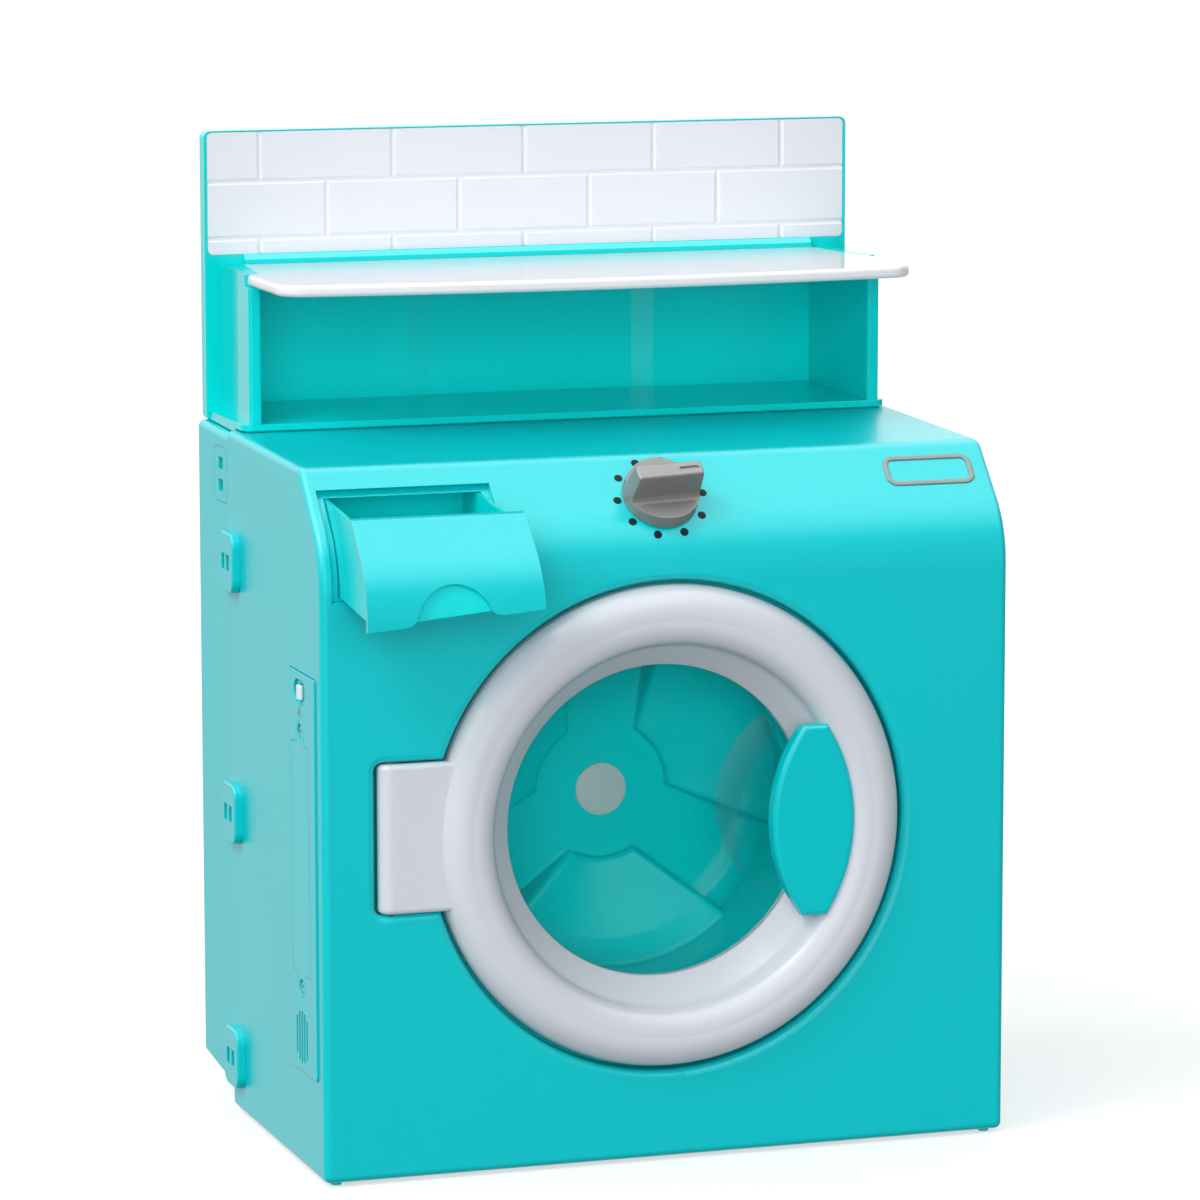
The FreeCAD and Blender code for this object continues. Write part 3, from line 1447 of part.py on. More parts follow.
def battery_cover_screws():
    screws = []
    start = module_face + cover_well_depth - cover_screw_head
    for height in cover_screw_heights:
        head = Part.makeCylinder(cover_screw_head_radius, cover_screw_head, vec(start, module_axis, height),
                                 right)
        shank = Part.makeCylinder(cover_screw_radius - touch, cover_screw_length,
                                  vec(start, module_axis, height), right)
        screws.append(head.fuse(shank))
    return Part.makeCompound(screws)


def cell_places():
    """Middles of the four cells, as (y, lower end, direction)."""
    middle = (bay_bottom + bay_top) / 2
    places = []
    for side in (-1, 1):
        y = module_axis + side * (cell_radius + cell_gap / 2)
        places.append((y, middle + cell_gap / 2, side))
        places.append((y, middle - cell_gap / 2 - cell_length - cell_nub, side))
    return places


def batteries():
    cells = []
    x = bay_floor - cell_radius - cell_gap
    for y, low, side in cell_places():
        long = cell_length
        start = low if side > 0 else low + cell_nub
        can = Part.makeCylinder(cell_radius, long, vec(x, y, start), up)
        nub_start = low + long if side > 0 else low
        nub = Part.makeCylinder(cell_nub_radius, cell_nub, vec(x, y, nub_start), up)
        cells.append(can.fuse(nub))
    return Part.makeCompound(cells)


def battery_contacts():
    """Flat contact plates at both ends of each pair of cells."""
    plates = []
    x = bay_floor - cell_radius - cell_gap
    for side in (-1, 1):
        y = module_axis + side * (cell_radius + cell_gap / 2)
        for low in (bay_bottom + bay_end_ledge, bay_top - bay_end_ledge - contact_thickness):
            near = (x - contact_width / 2, y - contact_width / 2, low)
            far = (x + contact_width / 2, y + contact_width / 2, low + contact_thickness)
            plates.append(block(near, far))
    return Part.makeCompound(plates)


def circuit_board():
    """Board behind the battery bay, standing on the inner cover."""
    near, far = box_low[0] + module_wall + board_margin, box_high[0] - module_wall - board_margin
    low = bay_bottom - cover_tab_reach + board_margin
    high = bay_top + cover_tab_reach - board_margin
    return block((box_end - board_thickness, near, low), (box_end, far, high))


def speaker():
    place = vec(module_inner, module_axis, grille_height)
    rim = Part.makeCylinder(speaker_radius - fit_gap, speaker_rim, place, right)
    cone = Part.makeCone(speaker_radius - fit_gap - speaker_rim, speaker_cone_radius,
                         speaker_depth - speaker_rim,
                         place + vec(speaker_rim, 0, 0), right)
    magnet = Part.makeCylinder(speaker_magnet_radius, speaker_magnet, place + vec(speaker_depth, 0, 0),
                               right)
    dish = Part.makeCone(speaker_radius - 2 * speaker_rim, speaker_cone_radius / 2, speaker_depth / 2,
                         place, right)
    return rim.fuse([cone, magnet]).cut(dish).removeSplitter()


def slide_switch():
    """Switch body behind the face's slot."""
    half = switch_body_half
    body = block((module_inner, module_axis - half, switch_height - half - switch_travel),
                 (module_inner + switch_body_depth, module_axis + half,
                  switch_height + half + switch_travel))
    grow = switch_stem_half + fit_gap
    slot = block((module_inner - touch, module_axis - grow, switch_height - grow - switch_travel),
                 (module_inner + switch_body_depth / 2, module_axis + grow,
                  switch_height + grow + switch_travel))
    return body.cut(slot)


def switch_slider():
    """White grip outside the face on a stem into the switch body."""
    seat = module_face + switch_recess_depth - fit_gap
    grip = side_plate((module_axis - switch_grip_half_width, switch_height - switch_grip_half_height),
                      (module_axis + switch_grip_half_width, switch_height + switch_grip_half_height),
                      switch_grip_edge, module_face - switch_grip_proud, seat)
    rim = edges_where(grip, lambda p: abs(p.x - module_face + switch_grip_proud) < touch)
    grip = grip.makeFillet(switch_grip_edge - touch, rim)
    half = switch_stem_half
    stem = block((seat - touch, module_axis - half, switch_height - half),
                 (module_inner + switch_body_depth / 2 - fit_gap, module_axis + half, switch_height + half))
    return grip.fuse(stem).removeSplitter()


# All pieces, by node name
right_wall = hutch_wall()
pieces = {
    "front_shell": front_shell(),
    "rear_shell": rear_shell(),
    "side_clips": side_clips(),
    "hutch_locks": hutch_locks(),
    "hutch_base": hutch_base(),
    "hutch_left_wall": right_wall.mirror(vec(0, 0, 0), right),
    "hutch_right_wall": right_wall,
    "hutch_back_panel": hutch_back_panel(),
    "tile_panel": tile_panel(),
    "counter_top": counter_top(),
    "drawer_sleeve": drawer_sleeve(),
    "drawer_front": drawer_front(),
    "drawer_tray": drawer_tray(),
    "hinge_pin": hinge_pin_rod(hinge_pin_radius),
    "door_ring": door_ring(),
    "door_back_ring": door_back_ring(),
    "door_window": door_window(),
    "door_handle": door_handle(),
    "door_screws": door_screws(),
    "drum_tub": drum_tub(),
    "drum_cap": drum_cap(),
    "drum_bush": drum_bush(),
    "drum_axle": drum_axle(),
    "drum_bracket": drum_bracket(),
    "bracket_screws": bracket_screws(),
    "knob": knob(),
    "knob_spindle": knob_spindle(),
    "click_wheel": click_wheel(),
    "click_spring": click_spring(),
    "knob_screw": knob_screw(),
    "sound_module_case": sound_module_case(),
    "sound_module_cover": sound_module_cover(),
    "module_screws": module_screws(),
    "battery_cover": battery_cover(),
    "battery_cover_screws": battery_cover_screws(),
    "batteries": batteries(),
    "battery_contacts": battery_contacts(),
    "circuit_board": circuit_board(),
    "speaker": speaker(),
    "slide_switch": slide_switch(),
    "switch_slider": switch_slider(),
}

# Origin under the middle of the whole, then one file per piece
reach = Part.makeCompound(list(pieces.values())).BoundBox
shift = vec(0, -(reach.YMin + reach.YMax) / 2, 0)
for name, shape in pieces.items():
    moved = shape.translated(shift)
    moved.exportStep(f"parts/{name}.step")
    print(name, len(moved.Solids), "valid" if moved.isValid() else "INVALID", round(moved.Volume))

# Joint places in the moved frame
knob_middle = vec(knob_offset, knob_setback, knob_base_height()) + shift
print("shift", round(shift.y, 3))
print("door hinge", -hinge_offset, round(hinge_setback + shift.y, 3), hinge_height)
print("drum axis", 0, round(drum_floor + shift.y, 3), door_height)
print("knob", [round(value, 3) for value in knob_middle])
print("drawer direction", [round(value, 6) for value in drawer_slide(1)])
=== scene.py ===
import math

import bmesh
import bpy
import numpy as np
from bpy.props import FloatProperty, FloatVectorProperty, IntProperty, PointerProperty
from mathutils import Matrix, Vector


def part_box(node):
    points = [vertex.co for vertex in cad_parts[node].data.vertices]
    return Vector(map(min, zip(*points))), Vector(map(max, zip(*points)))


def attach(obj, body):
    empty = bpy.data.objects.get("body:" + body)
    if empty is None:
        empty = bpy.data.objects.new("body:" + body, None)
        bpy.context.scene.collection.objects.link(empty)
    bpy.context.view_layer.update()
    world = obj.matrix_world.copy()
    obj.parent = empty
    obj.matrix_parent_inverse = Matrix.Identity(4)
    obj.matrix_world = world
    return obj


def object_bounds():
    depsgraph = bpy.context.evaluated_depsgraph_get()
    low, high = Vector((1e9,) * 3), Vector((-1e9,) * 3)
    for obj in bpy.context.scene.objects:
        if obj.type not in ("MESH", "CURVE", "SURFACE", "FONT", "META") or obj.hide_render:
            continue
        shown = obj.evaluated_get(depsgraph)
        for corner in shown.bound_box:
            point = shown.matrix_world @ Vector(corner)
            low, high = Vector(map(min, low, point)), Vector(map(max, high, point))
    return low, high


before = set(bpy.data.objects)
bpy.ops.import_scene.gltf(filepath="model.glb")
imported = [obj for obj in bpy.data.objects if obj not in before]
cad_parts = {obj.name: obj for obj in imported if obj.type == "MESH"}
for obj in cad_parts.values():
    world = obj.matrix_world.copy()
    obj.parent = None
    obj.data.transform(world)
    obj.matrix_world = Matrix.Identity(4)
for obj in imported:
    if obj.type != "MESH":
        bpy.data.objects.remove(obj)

bl_info = {
    "name": "Toy washer-dryer looks",
    "version": (1, 0, 0),
    "blender": (4, 5, 0),
    "location": "View3D > Sidebar > Toy washer",
    "description": "Finishes, printed marks, stage and camera for the packed toy washer-dryer",
    "category": "Object",
}

CAD_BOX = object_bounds()
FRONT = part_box("front_shell")[0].y

# Control panel outline, from the front face: an arc about the bend's centre, then a straight slope
BEND_RADIUS = 0.052
BEND_HEIGHT = 0.327557
PANEL_SLANT = math.radians(43.6)

# Middles of the marks on the panel: across, and up the outline from the start of the bend
KNOB_SPOT = (0.0009, 0.04975)
FRAME_SPOT = (0.1627, 0.0598)

# Wedge mark on the sound module: its tip over the battery cover, its height, half width over height, and depth
WEDGE_RISE = 0.0095
WEDGE_HEIGHT = 0.0066
WEDGE_SLOPE = 0.68
WEDGE_DEPTH = 0.0006

# Camera, fitted to the photograph: place, with y from the front face, its right and up directions, and its roll
CAMERA_PLACE = Vector((-1.0191, -2.92672, 0.7874))
CAMERA_RIGHT = Vector((0.9485, -0.3169, 0.0))
CAMERA_UP = Vector((0.0476, 0.1426, 0.9887))
CAMERA_ROLL = math.radians(-0.054)

# Brightness of the surround: as a light, in glossy surfaces by direction, and seen straight
DIM, DARK, GROUND, BACKDROP, CEILING, WHITE = 0.27, 0.02, 0.90, 1.50, 4.30, 0.97

# Node names by finish
SHELL_NODES = ("front_shell", "side_clips", "battery_cover")
REAR_NODES = ("rear_shell", "hutch_locks")
HUTCH_NODES = ("hutch_base", "hutch_left_wall", "hutch_right_wall", "hutch_back_panel")
TRAY_NODES = ("drawer_tray", "drawer_sleeve")
DOOR_NODES = ("door_ring", "door_back_ring")
NYLON_NODES = ("drum_bush", "drum_bracket", "knob_spindle", "click_wheel", "sound_module_cover")
STEEL_NODES = ("hinge_pin", "door_screws", "drum_axle", "bracket_screws", "click_spring", "knob_screw",
               "module_screws", "battery_contacts")
BLACK_NODES = ("speaker", "slide_switch")


# Sizes and colours that a user would change
class WasherColours(bpy.types.PropertyGroup):
    """Colours of the moulded pieces, as linear light."""
    turquoise: FloatVectorProperty(
        name="Turquoise", description="Shells, hutch, drawer, drum and handle", subtype="COLOR",
        size=3, min=0, max=1, default=(0.0, 0.560, 0.600))
    white: FloatVectorProperty(
        name="White", description="Door ring, counter, tiles and switch", subtype="COLOR",
        size=3, min=0, max=1, default=(0.740, 0.770, 0.830))
    silver: FloatVectorProperty(
        name="Silver", description="Knob, drum cap and frame on the panel", subtype="COLOR",
        size=3, min=0, max=1, default=(0.225, 0.222, 0.217))
    ink: FloatVectorProperty(
        name="Ink", description="Dots printed round the knob", subtype="COLOR",
        size=3, min=0, max=1, default=(0.006, 0.015, 0.017))


class WasherMarks(bpy.types.PropertyGroup):
    """Sizes of the printed and fixed marks on the control panel."""
    dot_count: IntProperty(
        name="Dots", description="Dots round the knob", min=3, max=24, default=10)
    dot_radius: FloatProperty(
        name="Dot radius", description="Radius of one dot", unit="LENGTH", default=0.0024)
    dot_circle: FloatProperty(
        name="Dot circle", description="Radius of the circle of dots", unit="LENGTH", default=0.0252)
    dot_turn: FloatProperty(
        name="Dot turn", description="Angle of the first dot", subtype="ANGLE", default=math.radians(3))
    dot_height: FloatProperty(
        name="Ink height", description="How far the ink stands off the panel", unit="LENGTH", default=0.00012)
    plate_width: FloatProperty(
        name="Frame width", description="Outer width of the bare frame", unit="LENGTH", default=0.0533)
    plate_height: FloatProperty(
        name="Frame height", description="Outer height of the bare frame", unit="LENGTH", default=0.0206)
    plate_corner: FloatProperty(
        name="Frame corner", description="Outer corner radius of the frame", unit="LENGTH", default=0.0065)
    plate_rim: FloatProperty(
        name="Frame rim", description="Width of the frame's rim", unit="LENGTH", default=0.0032)
    plate_proud: FloatProperty(
        name="Frame height off panel", description="How far the rim stands proud", unit="LENGTH", default=0.0009)


class WasherStage(bpy.types.PropertyGroup):
    """Floor, light and camera."""
    floor: FloatVectorProperty(
        name="Floor", description="Colour of the floor", subtype="COLOR", size=3, min=0, max=1,
        default=(0.45, 0.452, 0.455))
    key: FloatProperty(name="Key", description="Strength of the broad light from the upper left", default=1.85)
    fill: FloatProperty(name="Fill", description="Power of the front softbox", unit="POWER", default=79)
    side: FloatProperty(name="Side", description="Power of the softbox on the right", unit="POWER", default=10)
    rear: FloatProperty(name="Rear", description="Power of the softbox behind", unit="POWER", default=60)
    glint: FloatProperty(name="Glint", description="Power of the small softbox that shines on curves",
                         unit="POWER", default=15)
    lens: FloatProperty(name="Lens", description="Focal length on a 36 mm sensor", subtype="NONE", default=171.0)


# Shader maths
class Wire:
    """A node's output that can be reckoned with: each sum adds one Math node."""

    def __init__(self, paint, socket):
        self.paint = paint
        self.socket = socket

    def math(self, operation, *others):
        """A Math node on this value and, where the operation takes one, another."""
        terms = dict(enumerate((self, *others)))
        return self.paint.node("ShaderNodeMath", {"operation": operation}, terms)

    def __add__(self, other):
        return self.math("ADD", other)

    def __sub__(self, other):
        return self.math("SUBTRACT", other)

    def __rsub__(self, other):
        return self * -1.0 + other

    def __mul__(self, other):
        return self.math("MULTIPLY", other)

    def __abs__(self):
        return self.math("ABSOLUTE")

    def below(self, limit, soft):
        """1 where the value is under limit, fading to 0 over a soft band."""
        values = {"Value": self, "From Min": limit - soft, "From Max": limit + soft, "To Min": 1.0, "To Max": 0.0}
        return self.paint.node("ShaderNodeMapRange", {"interpolation_type": "SMOOTHSTEP"}, values)

    __radd__ = __add__
    __rmul__ = __mul__


class Nodes:
    """An emptied node tree and the one way to add a node to it."""

    def __init__(self, tree):
        self.tree = tree
        tree.nodes.clear()

    def node(self, kind, settings, values, output=0):
        """Adds a node, sets it up, fills or links its sockets and gives one of its outputs."""
        made = self.tree.nodes.new(kind)
        for name, value in settings.items():
            setattr(made, name, value)
        for name, value in values.items():
            if isinstance(value, Wire):
                self.tree.links.new(value.socket, made.inputs[name])
            else:
                made.inputs[name].default_value = value
        return Wire(self, made.outputs[output]) if made.outputs else made


class Paint(Nodes):
    """One procedural finish: a material with a Principled shader."""

    def __init__(self, name, fixed):
        self.material = bpy.data.materials.new(name)
        self.material.use_nodes = True
        super().__init__(self.material.node_tree)
        self.film = self.node("ShaderNodeBsdfPrincipled", {}, fixed)
        self.shader = self.film.socket.node
        self.output = self.node("ShaderNodeOutputMaterial", {}, {"Surface": self.film})
        self.place = self.node("ShaderNodeTexCoord", {}, {}, "Object")

    def feed(self, **wires):
        """Links wires to the shader's sockets; an underscore stands for a space."""
        for name, wire in wires.items():
            self.tree.links.new(wire.socket, self.shader.inputs[name.replace("_", " ")])

    def noise(self, scale, detail=2.0, vector=None):
        """Smooth noise from 0 to 1 in the piece's own space, or along a given vector."""
        values = {"Vector": vector or self.place, "Scale": scale, "Detail": detail}
        return self.node("ShaderNodeTexNoise", {}, values)

    def axes(self, names):
        """The piece's own x, y or z, for each letter asked for."""
        return [self.node("ShaderNodeSeparateXYZ", {}, {"Vector": self.place}, axis) for axis in names]

    def scaled(self, colour, tone):
        """A colour made lighter or darker by a value."""
        values = {0: tuple(colour)[:3], "Scale": tone}
        return self.node("ShaderNodeVectorMath", {"operation": "SCALE"}, values)

    def blend(self, share, one, two):
        """One colour turning into another as the share goes from 0 to 1."""
        values = {0: share, 6: one, 7: two}
        for key in (6, 7):
            if not isinstance(values[key], Wire):
                values[key] = (*tuple(values[key])[:3], 1.0)
        return self.node("ShaderNodeMix", {"data_type": "RGBA"}, values, 2)

    def relief(self, height, edge):
        """Surface height in metres as a normal, over edges rounded by a small radius."""
        rounded = self.node("ShaderNodeBevel", {"samples": 6}, {"Radius": edge})
        values = {"Strength": 1.0, "Distance": 1.0, "Height": height, "Normal": rounded}
        return self.node("ShaderNodeBump", {}, values)


def moulded(name, colour, gloss, edge=0.0006, peel=0.000004, drift=0.05, index=1.5):
    """Moulded plastic: colour and gloss drift in slow clouds, over fine orange peel and slow waves of the wall."""
    paint = Paint(name, {"IOR": index})
    clouds = paint.noise(scale=6.0, detail=3.0)
    grain = paint.noise(scale=1100.0, detail=1.0)
    waves = paint.noise(scale=38.0, detail=1.0)
    wave_height = 0.00003
    paint.base = paint.scaled(colour, 1.0 - drift / 2 + clouds * drift)
    paint.height = grain * peel + waves * wave_height
    paint.edge = edge
    paint.feed(Base_Color=paint.base, Roughness=gloss - 0.04 + clouds * 0.05 + grain * 0.03,
               Normal=paint.relief(paint.height, edge))
    return paint


def marked(paint, mask, depth, painted_shade):
    """Sinks a mark into a finish where the mask is 1: lower, and painted in the given colour, which is painted
    shade for the hollow.
    """
    paint.base = paint.blend(mask, paint.base, painted_shade)
    height = paint.height - mask * depth
    paint.feed(Base_Color=paint.base, Normal=paint.relief(height, paint.edge))
    return paint


def toned(colour, tone):
    """A colour with each channel scaled."""
    return tuple(part * share for part, share in zip(colour, tone))


def dress(paint, *nodes):
    """Gives CAD nodes a finish."""
    for name in nodes:
        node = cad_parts[name]
        if not node.material_slots:
            node.data.materials.append(paint.material)
        for slot in node.material_slots:
            slot.material = paint.material


# Surfaces on grids
def panel_points(x, along, lift):
    """Points off the control panel: x across, a distance up the outline from the start of its bend, and a lift.

    The outline turns by along / bend radius up to the slant, then runs straight; the lift follows its normal.
    """
    turn = np.minimum(along / BEND_RADIUS, PANEL_SLANT)
    run = np.maximum(along - BEND_RADIUS * PANEL_SLANT, 0)
    y = FRONT + BEND_RADIUS * (1 - np.cos(turn)) + run * math.sin(PANEL_SLANT) - lift * np.cos(turn)
    z = BEND_HEIGHT + BEND_RADIUS * np.sin(turn) + run * math.cos(PANEL_SLANT) + lift * np.sin(turn)
    return np.stack(np.broadcast_arrays(x, y, z), axis=-1)


def piece_from_rings(name, points, closed):
    """One object from points[copy, ring, side]: sides close round each ring, rings join in turn, poles merge."""
    copies, rings, sides = points.shape[:3]
    index = np.arange(copies * rings * sides).reshape(copies, rings, sides)
    index = np.concatenate([index, index[:, :, :1]], axis=2)
    if closed:
        index = np.concatenate([index, index[:, :1]], axis=1)
    corners = (index[:, :-1, :-1], index[:, :-1, 1:], index[:, 1:, 1:], index[:, 1:, :-1])
    quads = np.stack(corners, axis=-1).reshape(-1, 4)
    mesh = bpy.data.meshes.new(name)
    mesh.from_pydata(points.reshape(-1, 3).tolist(), [], quads.tolist())
    shape = bmesh.new()
    shape.from_mesh(mesh)
    bmesh.ops.remove_doubles(shape, verts=shape.verts, dist=1e-7)
    bmesh.ops.recalc_face_normals(shape, faces=shape.faces)
    shape.to_mesh(mesh)
    shape.free()
    mesh.shade_smooth()
    piece = bpy.data.objects.new(name, mesh)
    bpy.context.scene.collection.objects.link(piece)
    return piece


def rounded_rectangle(width, height, corner, steps):
    """Outline of a rectangle with round corners, as points and outward directions.

    Each corner is a quarter circle of that radius; the straight sides are the gaps between them.
    """
    turn = np.linspace(0, math.pi / 2, steps)[None, :] + np.arange(4)[:, None] * math.pi / 2
    out = np.stack([np.cos(turn), np.sin(turn)], axis=-1).reshape(-1, 2)
    side = np.array([[1, 1], [-1, 1], [-1, -1], [1, -1]]) * (np.array([width, height]) / 2 - corner)
    return np.repeat(side, steps, axis=0) + corner * out, out


# Operators, one for each piece or group of like pieces
class WASHER_OT_shells(bpy.types.Operator):
    """Turquoise shells, clips, locks and battery cover in satin moulded plastic"""
    bl_idname = "washer.shells"
    bl_label = "Shells"

    def execute(self, context):
        colour = context.scene.washer_colours.turquoise
        dress(moulded("turquoise_shell", colour, 0.30), *SHELL_NODES)
        dress(moulded("turquoise_rear", colour, 0.33), *REAR_NODES)
        return {"FINISHED"}


class WASHER_OT_sound_module(bpy.types.Operator):
    """Sound module face with a wedge-shaped mark sunk under its switch, painted darker as shade in its recess"""
    bl_idname = "washer.sound_module"
    bl_label = "Sound module"

    def execute(self, context):
        colour = context.scene.washer_colours.turquoise
        low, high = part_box("battery_cover")
        paint = moulded("turquoise_module", colour, 0.30)
        y, z = paint.axes("YZ")
        middle = (low.y + high.y) / 2
        tip = high.z + WEDGE_RISE
        wedge = abs(y - middle) + (z - tip) * WEDGE_SLOPE
        foot = (tip - WEDGE_HEIGHT) - z
        soft = 0.00015
        mask = wedge.below(0.0, soft) * foot.below(0.0, soft)
        # The wedge is painted half as bright as the face: painted shade in the sunk mark, which is moulded in the
        # same turquoise.
        marked(paint, mask, WEDGE_DEPTH, paint.scaled(colour, 0.50 + paint.noise(scale=300.0) * 0.05))
        dress(paint, "sound_module_case")
        return {"FINISHED"}


class WASHER_OT_hutch(bpy.types.Operator):
    """Hutch base, walls and back in glossier turquoise, tinted lighter and a little greener than the shells; the
    lighter tint is painted light on the hutch's shaded inside
    """
    bl_idname = "washer.hutch"
    bl_label = "Hutch"

    def execute(self, context):
        # Lighter copy of the turquoise: painted light on the hutch's shaded inside.
        colour = toned(context.scene.washer_colours.turquoise, (1.0, 1.18, 1.10))
        dress(moulded("turquoise_hutch", colour, 0.16, peel=0.000002), *HUTCH_NODES)
        return {"FINISHED"}


class WASHER_OT_drawer_and_handle(bpy.types.Operator):
    """Thin-walled drawer with its sleeve, the tray and sleeve tinted lighter than the front as painted light
    inside the drawer, and the door handle with softly rounded edges
    """
    bl_idname = "washer.drawer_and_handle"
    bl_label = "Drawer and handle"

    def execute(self, context):
        colour = context.scene.washer_colours.turquoise
        dress(moulded("turquoise_drawer", colour, 0.28, edge=0.0004, peel=0.000001), "drawer_front")
        # Lighter copy of the turquoise for the tray and sleeve: painted light inside the drawer.
        lit_tray = toned(colour, (1.0, 1.25, 1.18))
        dress(moulded("turquoise_tray", lit_tray, 0.27, edge=0.0004, peel=0.000001), *TRAY_NODES)
        dress(moulded("turquoise_handle", colour, 0.24, edge=0.0009, peel=0.000001), "door_handle")
        return {"FINISHED"}


class WASHER_OT_drum(bpy.types.Operator):
    """Drum in glossy turquoise with softened creases, tinted lighter than the shells as painted light inside the
    drum
    """
    bl_idname = "washer.drum"
    bl_label = "Drum"

    def execute(self, context):
        # Lighter copy of the turquoise: painted light inside the drum, standing in for light through its thin
        # walls.
        colour = toned(context.scene.washer_colours.turquoise, (1.0, 1.18, 1.11))
        dress(moulded("turquoise_drum", colour, 0.20, edge=0.004, peel=0.000002), "drum_tub")
        return {"FINISHED"}


class WASHER_OT_white_pieces(bpy.types.Operator):
    """Door ring in glossy white, counter in polished white, tiles and switch in satin white"""
    bl_idname = "washer.white_pieces"
    bl_label = "White pieces"

    def execute(self, context):
        colour = context.scene.washer_colours.white
        ring = toned(colour, (0.85, 0.85, 0.86))
        dress(moulded("white_door", ring, 0.16, drift=0.02, index=1.35), *DOOR_NODES)
        counter = toned(colour, (1.11, 1.05, 1.02))
        dress(moulded("white_counter", counter, 0.13, peel=0.000001, drift=0.02), "counter_top")
        dress(moulded("white_tiles", colour, 0.30, drift=0.03), "tile_panel")
        dress(moulded("white_switch", colour, 0.35, edge=0.0004, drift=0.02), "switch_slider")
        return {"FINISHED"}


class WASHER_OT_window(bpy.types.Operator):
    """Clear polished window that mirrors more at a slant"""
    bl_idname = "washer.window"
    bl_label = "Window"

    def execute(self, context):
        paint = Paint("clear_window", {"Metallic": 1.0, "Base Color": (0.95, 0.98, 0.98, 1.0)})
        smears = paint.noise(scale=14.0, detail=3.0)
        paint.feed(Roughness=0.015 + smears * 0.03)
        see_through = paint.node("ShaderNodeBsdfTransparent", {}, {"Color": (0.93, 0.985, 0.985, 1.0)})
        mirror = paint.node("ShaderNodeFresnel", {}, {"IOR": 1.49})
        share = mirror * 0.32 + smears * 0.004
        mixed = paint.node("ShaderNodeMixShader", {}, {0: share, 1: see_through, 2: paint.film})
        paint.tree.links.new(mixed.socket, paint.output.inputs["Surface"])
        dress(paint, "door_window")
        return {"FINISHED"}


class WASHER_OT_silver_pieces(bpy.types.Operator):
    """Knob in silver paint with fine flakes, drum cap brushed round its axis and painted light grey as a painted
    reflection of the bright surround
    """
    bl_idname = "washer.silver_pieces"
    bl_label = "Silver pieces"

    def execute(self, context):
        colour = context.scene.washer_colours.silver
        dress(silver_paint("silver_knob", colour), "knob")
        low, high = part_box("drum_cap")
        paint = Paint("silver_cap", {"IOR": 1.5, "Metallic": 0.05})
        x, z = paint.axes("XZ")
        across, rise = x - (low.x + high.x) / 2, z - (low.z + high.z) / 2
        turn = rise.math("ARCTAN2", across)
        reach = (across * across + rise * rise).math("SQRT")
        streak = paint.node("ShaderNodeCombineXYZ", {}, {"X": turn * 0.8, "Y": reach * 2500.0, "Z": 0.0})
        brushed = paint.noise(scale=1.0, detail=3.0, vector=streak)
        # The cap's colour is raised far above the silver and its metal nearly taken away: painted reflection of
        # the bright surround.
        paint.feed(Base_Color=paint.scaled(colour, 2.45 + brushed * 0.7), Roughness=0.28 + brushed * 0.16,
                   Normal=paint.relief(brushed * 0.00002, 0.0003))
        dress(paint, "drum_cap")
        return {"FINISHED"}


def silver_paint(name, colour):
    """Satin silver paint: fine flakes change the tone and the gloss from grain to grain."""
    paint = Paint(name, {"IOR": 1.5, "Metallic": 0.12})
    flakes = paint.noise(scale=3200.0, detail=1.0)
    clouds = paint.noise(scale=30.0)
    paint.feed(Base_Color=paint.scaled(colour, 0.86 + flakes * 0.26 + clouds * 0.06),
               Roughness=0.30 + flakes * 0.14, Normal=paint.relief(flakes * 0.000006, 0.0005))
    return paint


class WASHER_OT_inner_pieces(bpy.types.Operator):
    """Nylon, steel, cells, board and black pieces inside, and the screws in the battery cover"""
    bl_idname = "washer.inner_pieces"
    bl_label = "Inner pieces"

    def execute(self, context):
        dress(moulded("nylon", (0.66, 0.66, 0.62), 0.45), *NYLON_NODES)
        dress(moulded("black_plastic", (0.02, 0.02, 0.021), 0.50), *BLACK_NODES)
        dress(steel("zinc_steel"), *STEEL_NODES)
        dress(cross_screw(), "battery_cover_screws")
        dress(cell_sleeve(), "batteries")
        dress(solder_mask(), "circuit_board")
        return {"FINISHED"}


def steel(name):
    """Zinc plate: a fine spangle changes the tone and the gloss."""
    paint = Paint(name, {"Metallic": 1.0})
    spangle = paint.noise(scale=900.0)
    paint.base = paint.scaled((0.60, 0.60, 0.58), 0.85 + spangle * 0.25)
    paint.height = spangle * 0.000008
    paint.edge = 0.0002
    paint.feed(Base_Color=paint.base, Roughness=0.30 + spangle * 0.15,
               Normal=paint.relief(paint.height, paint.edge))
    return paint


def cross_screw():
    """Zinc screws with a cross recess: two narrow bars about each screw's own axis, sunk and painted near black as
    shade inside the recess.
    """
    paint = steel("cross_screw")
    low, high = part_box("battery_cover_screws")
    head = (high.y - low.y) / 2
    y, z = paint.axes("YZ")
    across = abs(y - (low.y + high.y) / 2)
    rise = abs(abs(z - (low.z + high.z) / 2) - ((high.z - low.z) / 2 - head))
    width, reach, soft, depth = head * 0.16, head * 0.62, 0.00008, 0.0008
    upright = across.below(width, soft) * rise.below(reach, soft)
    level = rise.below(width, soft) * across.below(reach, soft)
    # The near-black colour of the cross is painted shade in the recess.
    return marked(paint, upright.math("MAXIMUM", level), depth, (0.05, 0.05, 0.05))


